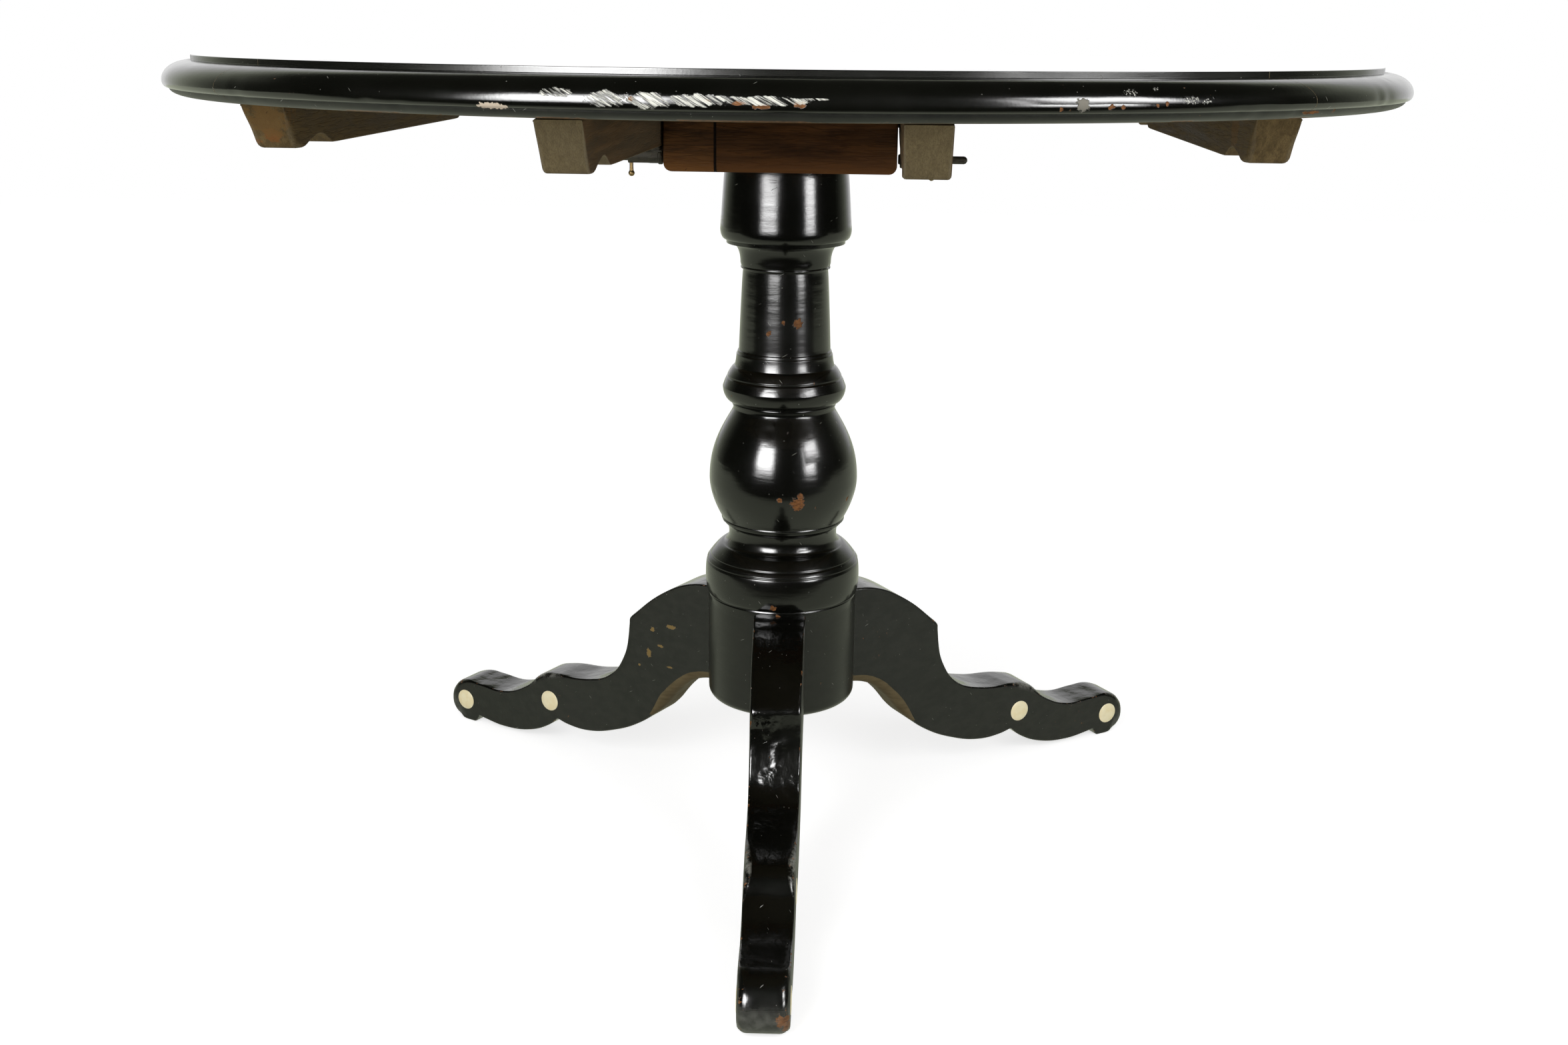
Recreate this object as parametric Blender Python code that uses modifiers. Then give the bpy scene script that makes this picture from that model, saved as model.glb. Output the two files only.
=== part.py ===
"""Tilt-top pedestal table: a round moulded top, a turned column and three sawn scroll legs.

Metres, +Z up. The origin is on the floor under the column's axis, and the front leg points nearly to -Y.
The top turns on two pins near the block's rear edge. Two bolts under the bearers, near the block's
front edge, lock it level. The bolts are drawn withdrawn, so the top is free to tilt.
"""

import math

import bmesh
import bpy
from mathutils import Matrix, Vector

# Fits
SEAT_GAP = 0.0003  # between pieces that touch
PIVOT_PLAY = 0.0004  # around a pivot pin in its bearer
SIDE_PLAY = 0.002  # from the block to each bearer

# Top and its moulded edge
TABLE_HEIGHT = 0.750
TOP_RADIUS = 0.545
TOP_THICKNESS = 0.032
FILLET_INSET = 0.024
FILLET_HEIGHT = 0.0043
NOSE_RETURN = 0.0035  # from the nose's widest point back to its foot
NOSE_LOWER_SHARE = 0.24  # of the nose's height, below its widest point
QUIRK_DEPTH = 0.0015
BAND_HEIGHT = 0.0066
BAND_INSET = 0.0185  # from the widest point back to the underside's edge
CENTRE_BOARD_SHARE = 0.230  # of the top's width
SIDE_BOARD_SHARE = 0.234

# Battens under the top: two bearers beside the block and two outer ones
BATTEN_WIDTH = 0.033
BEARER_END_DEPTH = 0.0395
BEARER_MID_DEPTH = 0.0436
OUTER_BATTEN_DEPTH = 0.0365
OUTER_BATTEN_SHARE = 0.698  # of the top's radius
BATTEN_INSET = 0.028
END_UNDERCUT = 0.030
FOOT_LENGTH = 0.012
FOOT_ROUNDING = 0.008
NOTCH_LENGTH = 0.070
NOTCH_HEIGHT = 0.0085

# A batten's end in shares of its rounding, foot and notch, as (along, up)
FOOT_ARC = (0.20, 0.15)
FOOT_FLAT = 0.40
NOTCH_RISE = (0.35, 0.75)
NOTCH_CROWN = (0.65, 1.0)

# Wood screws through the battens
SCREW_HEAD_RADIUS = 0.0042
SCREW_HEAD_HEIGHT = 0.003
SCREW_SHANK_RADIUS = 0.0023
SCREW_POINT = 0.006
SCREW_BITE = 0.018
COUNTERBORE_DEPTH = 0.010
OUTER_SCREW_SHARE = 0.275  # of the top's radius

# Block
BLOCK_SIZE = 0.206
BLOCK_THICKNESS = 0.0646
BLOCK_SIDE_STRIP = 0.046
BLOCK_LOWER_ROUNDING = 0.008
PIVOT_ROUNDING = 0.027  # the block's rear top edge is rounded about the pivot pins
ROUND_PROFILE = 0.5  # makes a bevel circular
PIVOT_ROUNDING_STEPS = 8
LOWER_ROUNDING_STEPS = 3

# Pivot pins
PIVOT_PIN_RADIUS = 0.006
PIVOT_PIN_HOLD = 0.036
PIVOT_PIN_REACH = 0.034

# Lock bolts
BOLT_SETBACK = 0.017
BOLT_DROP = 0.052  # from the top's underside to the bolt's axis
BOLT_RADIUS = 0.0045
BOLT_STEM_RADIUS = 0.0034
BOLT_BODY_LENGTH = 0.040
BOLT_LENGTH = 0.061
BOLT_TIP_CHAMFER = 0.001
BOLT_TRAVEL = 0.015
SOCKET_SPARE = 0.003
BOLT_TIP_GAP = 0.0007
CASE_LENGTH = 0.031
CASE_WALL = 0.0018
CASE_PLATE_THICKNESS = 0.003
CASE_PLATE_EDGE = 0.0024
CASE_PLATE_WIDTH = 0.042
CASE_CHAMFER_SHARE = 0.45  # of the barrel's half width, left flat between its lower corners
FINGER_PIN_RADIUS = 0.00185
FINGER_PIN_PLACE = 0.030
FINGER_PIN_DROP = 0.0155
FINGER_BALL_RADIUS = 0.0028
CASE_SCREW_RADIUS = 0.0016
CASE_SCREW_HEAD_RADIUS = 0.0032
CASE_SCREW_HEAD_HEIGHT = 0.0016
CASE_SCREW_LENGTH = 0.014
CASE_SCREW_POINT = 0.0032

# Column: radii of its turned forms
CAPITAL_TOP_RADIUS = 0.058
CAPITAL_RADIUS = 0.0625
NECK_COLLAR_RADIUS = 0.045
NECK_RADIUS = 0.041
SHAFT_FOOT_RADIUS = 0.0445
COLLAR_RADIUS = 0.0485
RING_RADIUS = 0.060
VASE_NECK_RADIUS = 0.0497
VASE_RADIUS = 0.073
VASE_FOOT_RADIUS = 0.0605
COVE_RADIUS = 0.0535
BASE_RING_RADIUS = 0.077
BASE_GROOVE_RADIUS = 0.0755
DRUM_RADIUS = 0.074
COLUMN_TENON_RADIUS = 0.028

# Column: heights of its turned forms, the shaft taking what is left
CAPITAL_HEIGHT = 0.0565
CAPITAL_ROLL_HEIGHT = 0.025
NECK_HEIGHT = 0.015
COLLAR_HEIGHT = 0.0155
COLLAR_STEP_SHARE = 0.70  # of the collar's height, up to its step
RING_HEIGHT = 0.0355
RING_WIDEST_SHARE = 0.43  # of the ring's height, up to its widest point
RING_FULLNESS = 0.62  # of the ring's upper slope
VASE_NECK_HEIGHT = 0.0065
VASE_SHOULDER_HEIGHT = 0.070
VASE_SHOULDER_FULLNESS = 0.58  # below 1 the shoulder swells early
VASE_FOOT_HEIGHT = 0.0395
VASE_FOOT_FULLNESS = 1.8
COVE_FILLET_HEIGHT = 0.0055
COVE_HEIGHT = 0.022
BASE_ROLL_HEIGHT = 0.016
BASE_ROLL_FULLNESS = 0.72
BASE_GROOVE_HEIGHT = 0.002
BASE_RING_HEIGHT = 0.032
DRUM_HEIGHT = 0.112
DRUM_FOOT = 0.122
DRUM_EDGE_ROUNDING = 0.009

# Tenon wedge
WEDGE_TOP_WIDTH = 0.006
WEDGE_TIP_WIDTH = 0.003
WEDGE_DEPTH = 0.036
WEDGE_LENGTH_SHARE = 0.93  # of the tenon's width

# Legs
LEG_REACH = 0.441
LEG_ROOT_HEIGHT = 0.1075
LEG_ROOT_THICKNESS = 0.050
LEG_TOE_THICKNESS = 0.043
LEG_TURN = math.radians(2.0)  # the legs aren't quite square to the block
LEG_EDGE_ROUNDING = 0.0015
LEG_COUNT = 3
DOVETAIL_DEPTH = 0.028
DOVETAIL_NECK_WIDTH = 0.021
DOVETAIL_ROOT_WIDTH = 0.027
DOVETAIL_SHOULDER = 0.008
DISC_RADIUS = 0.0115
DISC_THICKNESS = 0.0035
DISC_PROUD = 0.0006

# The leg's scroll, drawn as knots (along, up): 0 to 1 from the drum's face to the toe, and 0 to 1 from
# the floor to the top of the root. A knot is smooth, or a corner where the saw turned.
SMOOTH = "AUTO"
CORNER = "VECTOR"
SCROLL_TOP = (
    (0.06, 0.987, SMOOTH),
    (0.16, 0.912, SMOOTH),
    (0.280, 0.758, CORNER),  # point of the shoulder
    (0.282, 0.675, SMOOTH),
    (0.301, 0.558, SMOOTH),
    (0.355, 0.445, SMOOTH),
    (0.455, 0.388, SMOOTH),  # long hollow
    (0.575, 0.372, SMOOTH),  # first hump
    (0.628, 0.347, SMOOTH),
    (0.682, 0.270, SMOOTH),
    (0.775, 0.209, SMOOTH),  # short hollow
    (0.875, 0.211, SMOOTH),
    (0.938, 0.211, SMOOTH),  # second hump
    (0.982, 0.170, SMOOTH),
    (1.0, 0.095, SMOOTH),
    (0.985, 0.030, SMOOTH),
)
SCROLL_TOE = ((0.950, 0.0, CORNER), (0.897, 0.0, CORNER))
SCROLL_UNDER = (
    (0.880, 0.038, CORNER),  # nick behind the toe
    (0.855, 0.031, SMOOTH),
    (0.775, 0.019, SMOOTH),  # outer lobe
    (0.670, 0.042, SMOOTH),
    (0.594, 0.098, SMOOTH),
    (0.560, 0.143, CORNER),  # point between the lobes
    (0.520, 0.128, SMOOTH),
    (0.440, 0.126, SMOOTH),  # inner lobe
    (0.345, 0.166, SMOOTH),
    (0.250, 0.238, SMOOTH),
    (0.180, 0.325, SMOOTH),
    (0.118, 0.440, SMOOTH),
    (0.055, 0.520, SMOOTH),
)
SCROLL_ROOT_UNDER = 0.553
SCROLL_EYES = ((0.587, 0.229), (0.932, 0.109))

# Facets
TOP_SEGMENTS = 80
COLUMN_SEGMENTS = 32
PIN_SEGMENTS = 16
SCREW_SEGMENTS = 8
DISC_SEGMENTS = 16
CURVE_STEPS = 3
FLAT_FACE = 0.99  # how squarely a face looks along an outline's thickness
MERGE = 0.00001

# Places worked out from the sizes above
UNDERSIDE = TABLE_HEIGHT - TOP_THICKNESS
UNDERSIDE_RADIUS = TOP_RADIUS - BAND_INSET
CENTRE_BOARD_WIDTH = 2 * TOP_RADIUS * CENTRE_BOARD_SHARE
SIDE_BOARD_WIDTH = 2 * TOP_RADIUS * SIDE_BOARD_SHARE
BATTEN_TOP = UNDERSIDE - SEAT_GAP
BLOCK_HALF = BLOCK_SIZE / 2
BLOCK_TOP = UNDERSIDE - SEAT_GAP
BLOCK_BOTTOM = BLOCK_TOP - BLOCK_THICKNESS
BEARER_INNER = BLOCK_HALF + SIDE_PLAY
BEARER_PLACE = BEARER_INNER + BATTEN_WIDTH / 2
OUTER_BATTEN_PLACE = TOP_RADIUS * OUTER_BATTEN_SHARE
OUTER_SCREW_SPREAD = TOP_RADIUS * OUTER_SCREW_SHARE
PIVOT = Vector((0.0, BLOCK_HALF - PIVOT_ROUNDING, BLOCK_TOP - PIVOT_ROUNDING))
BOLT_Y = -BLOCK_HALF + BOLT_SETBACK
BOLT_Z = UNDERSIDE - BOLT_DROP
SOCKET_DEPTH = BOLT_TRAVEL + SOCKET_SPARE
LEG_TOP = DRUM_FOOT + LEG_ROOT_HEIGHT
SIDES = (("left", -1), ("right", 1))


def new_collection(name):
    """Makes a collection in the scene."""
    group = bpy.data.collections.new(name)
    bpy.context.scene.collection.children.link(group)
    return group


for old_object in list(bpy.data.objects):
    bpy.data.objects.remove(old_object, do_unlink=True)
PARTS = new_collection("tilt_top_table")
CUTTERS = new_collection("tilt_top_table_cutters")


def make_material(name, colour, roughness, metallic=0.0):
    """A Principled material of one colour."""
    material = bpy.data.materials.new(name)
    material.use_nodes = True
    shader = material.node_tree.nodes["Principled BSDF"]
    shader.inputs["Base Color"].default_value = (*colour, 1.0)
    shader.inputs["Roughness"].default_value = roughness
    shader.inputs["Metallic"].default_value = metallic
    return material


LACQUER = make_material("black_lacquer", (0.012, 0.012, 0.013), 0.18)
BARE_WOOD = make_material("bare_wood", (0.13, 0.095, 0.065), 0.75)
BLOCK_WOOD = make_material("block_wood", (0.15, 0.06, 0.03), 0.7)
STRIP_WOOD = make_material("strip_wood", (0.25, 0.11, 0.05), 0.7)
IRON = make_material("dark_iron", (0.06, 0.06, 0.055), 0.55, 0.9)
BRASS = make_material("old_brass", (0.30, 0.21, 0.10), 0.4, 1.0)
BONE = make_material("bone", (0.72, 0.62, 0.44), 0.4)


def make_empty(name, place, parent=None):
    """An empty on a joint's axis, which carries the pieces that move with it."""
    empty = bpy.data.objects.new(name, None)
    empty.location = place if parent is None else place - parent.location
    empty.parent = parent
    PARTS.objects.link(empty)
    return empty


STAND = make_empty("stand", Vector((0.0, 0.0, 0.0)))
TOP_TURN = make_empty("top_turn", PIVOT)


def add_part(name, mesh, material, place, rotation=(0.0, 0.0, 0.0), carrier=STAND, carrier_place=None):
    """Links a mesh as a named part at a world place, carried by an empty."""
    part = bpy.data.objects.new(name, mesh)
    if not mesh.materials:
        mesh.materials.append(material)
    part.location = Vector(place) - (carrier.location if carrier_place is None else carrier_place)
    part.rotation_euler = rotation
    part.parent = carrier
    PARTS.objects.link(part)
    return part


def add_cutter(name, mesh, place=(0.0, 0.0, 0.0), rotation=(0.0, 0.0, 0.0)):
    """Links a mesh as a hidden cutter."""
    cutter = bpy.data.objects.new(name, mesh)
    cutter.location = place
    cutter.rotation_euler = rotation
    cutter.hide_render = True
    cutter.display_type = "WIRE"
    CUTTERS.objects.link(cutter)
    return cutter


def boolean(part, tool, operation="DIFFERENCE"):
    """Adds a Boolean of a tool object to a part."""
    modifier = part.modifiers.new(tool.name, "BOOLEAN")
    modifier.operation = operation
    modifier.object = tool


def to_mesh(bm, name):
    """Writes a bmesh to a new mesh, with its faces pointing out."""
    bmesh.ops.recalc_face_normals(bm, faces=bm.faces)
    mesh = bpy.data.meshes.new(name)
    bm.to_mesh(mesh)
    bm.free()
    return mesh


def smooth(mesh, angle=35.0):
    """Shades a mesh smooth, with its corners sharp."""
    mesh.shade_smooth()
    mesh.set_sharp_from_angle(angle=math.radians(angle))


def box_mesh(name, low, high):
    """A box between two corners."""
    low, high = Vector(low), Vector(high)
    bm = bmesh.new()
    place = Matrix.Translation((low + high) / 2) @ Matrix.Diagonal((*(high - low), 1.0))
    bmesh.ops.create_cube(bm, size=1.0, matrix=place)
    return to_mesh(bm, name)


def rods_mesh(name, rods, segments):
    """Straight round rods, each from a start to an end with a radius, as separate bodies of one mesh."""
    bm = bmesh.new()
    for start, end, radius in rods:
        start, end = Vector(start), Vector(end)
        axis = end - start
        turn = axis.to_track_quat("Z", "Y").to_matrix().to_4x4()
        place = Matrix.Translation((start + end) / 2) @ turn
        sizes = {"radius1": radius, "radius2": radius, "depth": axis.length}
        bmesh.ops.create_cone(bm, cap_ends=True, segments=segments, matrix=place, **sizes)
    return to_mesh(bm, name)


def bore_holes(part, name, rods, segments):
    """Bores round holes through a part."""
    boolean(part, add_cutter(name, rods_mesh(name, rods, segments)))


def profile_mesh(name, profile):
    """The edge of a turned shape, from its top to its bottom, as (radius, height) points."""
    mesh = bpy.data.meshes.new(name)
    points = [(radius, 0.0, height) for radius, height in profile]
    mesh.from_pydata(points, [(i, i + 1) for i in range(len(points) - 1)], [])
    return mesh


def turn(part, segments):
    """Turns a profile into a solid."""
    modifier = part.modifiers.new("turning", "SCREW")
    modifier.steps = segments
    modifier.render_steps = segments
    modifier.use_merge_vertices = True
    modifier.merge_threshold = MERGE
    modifier.use_smooth_shade = True


def outline_mesh(name, knots, thickness):
    """A flat outline of knots (across, up, handle), filled and given its thickness both ways."""
    curve = bpy.data.curves.new(name, "CURVE")
    curve.dimensions = "2D"
    curve.fill_mode = "BOTH"
    curve.extrude = thickness / 2
    curve.resolution_u = CURVE_STEPS
    spline = curve.splines.new("BEZIER")
    spline.bezier_points.add(len(knots) - 1)
    for point, (across, up, handle) in zip(spline.bezier_points, knots):
        point.co = (across, up, 0.0)
        point.handle_left_type = handle
        point.handle_right_type = handle
    spline.use_cyclic_u = True
    holder = bpy.data.objects.new(name, curve)
    CUTTERS.objects.link(holder)
    depsgraph = bpy.context.evaluated_depsgraph_get()
    mesh = bpy.data.meshes.new_from_object(holder.evaluated_get(depsgraph))
    bpy.data.objects.remove(holder, do_unlink=True)
    bm = bmesh.new()
    bm.from_mesh(mesh)
    bpy.data.meshes.remove(mesh)
    bmesh.ops.remove_doubles(bm, verts=bm.verts, dist=MERGE)
    bmesh.ops.dissolve_limit(bm, angle_limit=math.radians(0.5), verts=bm.verts, edges=bm.edges)
    return to_mesh(bm, name)


def round_flat_edges(mesh, width):
    """Takes the sharpness off the edges between an outline's flat faces and its sides."""
    bm = bmesh.new()
    bm.from_mesh(mesh)
    flat = {face for face in bm.faces if abs(face.normal.z) > FLAT_FACE}
    rim = [edge for edge in bm.edges if len({face in flat for face in edge.link_faces}) == 2]
    bmesh.ops.bevel(bm, geom=rim, offset=width, segments=1, affect="EDGES", clamp_overlap=False)
    bm.to_mesh(mesh)
    bm.free()


def quarter(start, end, steps, starts_flat):
    """Points of a quarter ellipse after its start; it leaves the start level, or else upright."""
    points = []
    for i in range(1, steps + 1):
        angle = math.pi / 2 * i / steps
        lead, lag = math.sin(angle), 1.0 - math.cos(angle)
        across, down = (lead, lag) if starts_flat else (lag, lead)
        points.append((start[0] + (end[0] - start[0]) * across, start[1] + (end[1] - start[1]) * down))
    return points


def swell(start, end, steps, fullness):
    """Points of an S-shaped run after its start, upright at both ends and fuller below a fullness of 1."""
    points = []
    for i in range(1, steps + 1):
        share = i / steps
        across = (1.0 - math.cos(math.pi * share**fullness)) / 2
        points.append((start[0] + (end[0] - start[0]) * across, start[1] + (end[1] - start[1]) * share))
    return points


def slope(start, end, steps, fullness):
    """Points of a run after its start that leaves it quickly below a fullness of 1 and slowly above it."""
    points = []
    for i in range(1, steps + 1):
        share = i / steps
        across = share**fullness
        points.append((start[0] + (end[0] - start[0]) * across, start[1] + (end[1] - start[1]) * share))
    return points


def top_profile():
    """The top's moulded edge: a fillet, a broad rounded nose, a shallow quirk and a rounded band."""
    fillet = (TOP_RADIUS - FILLET_INSET, TABLE_HEIGHT - FILLET_HEIGHT)
    band_top = UNDERSIDE + BAND_HEIGHT
    nose = (TOP_RADIUS, band_top + (fillet[1] - band_top) * NOSE_LOWER_SHARE)
    nose_foot = (TOP_RADIUS - NOSE_RETURN, band_top)
    quirk = (nose_foot[0] - QUIRK_DEPTH, band_top)
    points = [(0.0, TABLE_HEIGHT), (fillet[0], TABLE_HEIGHT), fillet]
    points += quarter(fillet, nose, 5, True)
    points += quarter(nose, nose_foot, 3, False)
    points.append(quirk)
    points += quarter(quirk, (UNDERSIDE_RADIUS, UNDERSIDE), 3, False)
    points.append((0.0, UNDERSIDE))
    return points


def batten_half(place):
    """Half the length of a batten, to the upper corner of its end, from the top's underside."""
    outer_face = place + BATTEN_WIDTH / 2
    return math.sqrt(UNDERSIDE_RADIUS**2 - outer_face**2) - BATTEN_INSET


def batten_knots(half, end_depth, mid_depth):
    """A batten's side: undercut ends, a narrow foot, a nick behind it and a straight lower edge."""
    foot = half - END_UNDERCUT
    heel = foot - FOOT_LENGTH
    low = -end_depth
    end = [
        (half, 0.0, CORNER),
        (foot + FOOT_ROUNDING, low + FOOT_ROUNDING, CORNER),
        (foot + FOOT_ROUNDING * FOOT_ARC[0], low + FOOT_ROUNDING * FOOT_ARC[1], SMOOTH),
        (foot - FOOT_LENGTH * FOOT_FLAT, low, SMOOTH),
        (heel, low, SMOOTH),
        (heel - NOTCH_LENGTH * NOTCH_RISE[0], low + NOTCH_HEIGHT * NOTCH_RISE[1], SMOOTH),
        (heel - NOTCH_LENGTH * NOTCH_CROWN[0], low + NOTCH_HEIGHT * NOTCH_CROWN[1], SMOOTH),
        (heel - NOTCH_LENGTH, low, CORNER),
    ]
    mirrored = [(-along, up, handle) for along, up, handle in reversed(end)]
    return end + [(0.0, -mid_depth, CORNER)] + mirrored


def batten_depth(half, end_depth, mid_depth, along):
    """A batten's depth on its straight lower edge."""
    cusp = half - END_UNDERCUT - FOOT_LENGTH - NOTCH_LENGTH
    return mid_depth + (end_depth - mid_depth) * min(1.0, abs(along) / cusp)


def wood_screw(name, place, length):
    """A plain-headed wood screw that stands on its head."""
    head, shank = SCREW_HEAD_RADIUS, SCREW_SHANK_RADIUS
    profile = [
        (0.0, length),
        (shank, length - SCREW_POINT),
        (shank, SCREW_HEAD_HEIGHT),
        (head, SCREW_HEAD_HEIGHT),
        (head, 0.0),
        (0.0, 0.0),
    ]
    screw = add_part(name, profile_mesh(name, profile), IRON, place, carrier=TOP_TURN)
    turn(screw, SCREW_SEGMENTS)


def make_batten(name, side, place, depths, screw_places, extra_wide=(), extra_thin=()):
    """A batten, deep by (end, middle), with its screws. Gives the screw holes that go on into the boards."""
    half = batten_half(place)
    mesh = outline_mesh(name, batten_knots(half, *depths), BATTEN_WIDTH)
    centre = side * place
    upright = (math.pi / 2, 0.0, math.pi / 2)
    batten = add_part(name, mesh, BARE_WOOD, (centre, 0.0, BATTEN_TOP), upright, TOP_TURN)
    wide, thin = list(extra_wide), list(extra_thin)
    board_holes = []
    for number, along in enumerate(screw_places, 1):
        depth = batten_depth(half, *depths, along)
        seat = BATTEN_TOP - depth + COUNTERBORE_DEPTH
        point = UNDERSIDE + SCREW_BITE
        head = seat - SEAT_GAP - SCREW_HEAD_HEIGHT
        wood_screw(f"{name}_screw_{number}", (centre, along, head), point - head)
        bore = SCREW_HEAD_RADIUS + SEAT_GAP
        wide.append(((centre, along, BATTEN_TOP - depth - COUNTERBORE_DEPTH), (centre, along, seat), bore))
        hole = SCREW_SHANK_RADIUS + SEAT_GAP
        thin.append(((centre, along, seat - COUNTERBORE_DEPTH / 2), (centre, along, point), hole))
        board_holes.append(((centre, along, seat), (centre, along, point + SEAT_GAP), hole))
    bore_holes(batten, f"{name}_wide_holes", wide, PIN_SEGMENTS)
    bore_holes(batten, f"{name}_thin_holes", thin, SCREW_SEGMENTS)
    return board_holes


def make_battens():
    """The four battens and their screws. Gives the holes for the boards."""
    holes = []
    board_step = (CENTRE_BOARD_WIDTH + SIDE_BOARD_WIDTH) / 2
    depths = (BEARER_END_DEPTH, BEARER_MID_DEPTH)
    for label, side in SIDES:
        pivot_hole = (
            (side * (BEARER_INNER - SIDE_PLAY), PIVOT.y, PIVOT.z),
            (side * (BLOCK_HALF + PIVOT_PIN_REACH + SEAT_GAP), PIVOT.y, PIVOT.z),
            PIVOT_PIN_RADIUS + PIVOT_PLAY,
        )
        seat = case_screw_seat()
        screw_holes = []
        for x, y in case_screw_places(side):
            screw_holes.append(((x, y, seat), (x, y, seat + CASE_SCREW_LENGTH), CASE_SCREW_RADIUS + SEAT_GAP))
        along = (-board_step, 0.0, board_step)
        name = f"{label}_bearer"
        holes += make_batten(name, side, BEARER_PLACE, depths, along, [pivot_hole], screw_holes)
    depths = (OUTER_BATTEN_DEPTH, OUTER_BATTEN_DEPTH)
    for label, side in SIDES:
        along = (-OUTER_SCREW_SPREAD, OUTER_SCREW_SPREAD)
        holes += make_batten(f"{label}_outer_batten", side, OUTER_BATTEN_PLACE, depths, along)
    return holes


def make_boards(holes):
    """Five glued boards, cut from one moulded round."""
    profile = top_profile()
    joint = CENTRE_BOARD_WIDTH / 2
    far_joint = joint + SIDE_BOARD_WIDTH
    past_rim = TOP_RADIUS + TOP_THICKNESS
    edges = (-past_rim, -far_joint, -joint, joint, far_joint, past_rim)
    names = ("front_edge_board", "front_board", "centre_board", "rear_board", "rear_edge_board")
    hole_cutter = add_cutter("board_screw_holes", rods_mesh("board_screw_holes", holes, SCREW_SEGMENTS))
    for name, front, rear in zip(names, edges, edges[1:]):
        board = add_part(name, profile_mesh(name, profile), LACQUER, (0.0, 0.0, 0.0), carrier=TOP_TURN)
        turn(board, TOP_SEGMENTS)
        low = (-past_rim, front + SEAT_GAP / 2, UNDERSIDE - TOP_THICKNESS)
        high = (past_rim, rear - SEAT_GAP / 2, TABLE_HEIGHT + TOP_THICKNESS)
        boolean(board, add_cutter(f"{name}_saw", box_mesh(f"{name}_saw", low, high)), "INTERSECT")
        boolean(board, hole_cutter)


def block_piece(name, low_x, high_x, material, rods):
    """A part of the block: its outer lower edges are eased and its rear top edge is rounded."""
    bm = bmesh.new()
    low = Vector((low_x, -BLOCK_HALF, BLOCK_BOTTOM))
    high = Vector((high_x, BLOCK_HALF, BLOCK_TOP))
    place = Matrix.Translation((low + high) / 2) @ Matrix.Diagonal((*(high - low), 1.0))
    bmesh.ops.create_cube(bm, size=1.0, matrix=place)
    rear_top = [e for e in bm.edges if all(v.co.y > 0 and v.co.z > low.z + MERGE for v in e.verts)]
    rear_top = [e for e in rear_top if abs(e.verts[0].co.x - e.verts[1].co.x) > MERGE]
    shape = {"profile": ROUND_PROFILE, "affect": "EDGES"}
    bmesh.ops.bevel(bm, geom=rear_top, offset=PIVOT_ROUNDING, segments=PIVOT_ROUNDING_STEPS, **shape)
    lower = []
    for edge in bm.edges:
        ends = [vert.co for vert in edge.verts]
        on_joint = all(abs(abs(end.x) - BLOCK_HALF) > MERGE for end in ends)
        if all(end.z < low.z + MERGE for end in ends) and not on_joint:
            lower.append(edge)
    bmesh.ops.bevel(bm, geom=lower, offset=BLOCK_LOWER_ROUNDING, segments=LOWER_ROUNDING_STEPS, **shape)
    piece = add_part(name, to_mesh(bm, name), material, (0.0, 0.0, 0.0))
    bore_holes(piece, f"{name}_holes", rods, PIN_SEGMENTS)
    return piece


def block_side_holes(side):
    """The pivot pin's hole and the lock bolt's socket in one side of the block."""
    face = side * BLOCK_HALF
    outside = side * (BLOCK_HALF + SIDE_PLAY)
    pin_end = face - side * (PIVOT_PIN_HOLD + SEAT_GAP)
    pin = ((outside, PIVOT.y, PIVOT.z), (pin_end, PIVOT.y, PIVOT.z), PIVOT_PIN_RADIUS + SEAT_GAP)
    socket_end = face - side * SOCKET_DEPTH
    socket = ((outside, BOLT_Y, BOLT_Z), (socket_end, BOLT_Y, BOLT_Z), BOLT_RADIUS + PIVOT_PLAY)
    return [pin, socket]


def make_block():
    """The block in two glued pieces, on the column's tenon."""
    joint = -BLOCK_HALF + BLOCK_SIDE_STRIP
    tenon_hole = (
        (0.0, 0.0, BLOCK_BOTTOM - BLOCK_THICKNESS),
        (0.0, 0.0, BLOCK_TOP + BLOCK_THICKNESS),
        COLUMN_TENON_RADIUS + SEAT_GAP,
    )
    block = block_piece("block", joint + SEAT_GAP / 2, BLOCK_HALF, BLOCK_WOOD, block_side_holes(1))
    bore_holes(block, "tenon_hole", [tenon_hole], COLUMN_SEGMENTS)
    block_piece("block_side_strip", -BLOCK_HALF, joint - SEAT_GAP / 2, STRIP_WOOD, block_side_holes(-1))
    for label, side in SIDES:
        name = f"{label}_pivot_pin"
        start = (side * (BLOCK_HALF - PIVOT_PIN_HOLD), 0.0, 0.0)
        end = (side * (BLOCK_HALF + PIVOT_PIN_REACH), 0.0, 0.0)
        mesh = rods_mesh(name, [(start, end, PIVOT_PIN_RADIUS)], PIN_SEGMENTS)
        smooth(mesh)
        add_part(name, mesh, IRON, PIVOT)


def case_top():
    """The lower edge of a bearer over its bolt case, where the case's plate is screwed on."""
    half = batten_half(BEARER_PLACE)
    nearest = max(0.0, abs(BOLT_Y) - CASE_PLATE_WIDTH / 2)
    return BATTEN_TOP - batten_depth(half, BEARER_END_DEPTH, BEARER_MID_DEPTH, nearest) - SEAT_GAP


def case_screw_seat():
    """The height of the case screws' heads against the plate."""
    return case_top() - CASE_PLATE_THICKNESS - SEAT_GAP


def case_screw_places(side):
    """Where the two screws of a bolt case are."""
    x = side * (BEARER_INNER + CASE_LENGTH / 2)
    barrel = BOLT_RADIUS + PIVOT_PLAY + CASE_WALL
    offset = (barrel + CASE_PLATE_WIDTH / 2) / 2
    return [(x, BOLT_Y - offset), (x, BOLT_Y + offset)]


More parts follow.
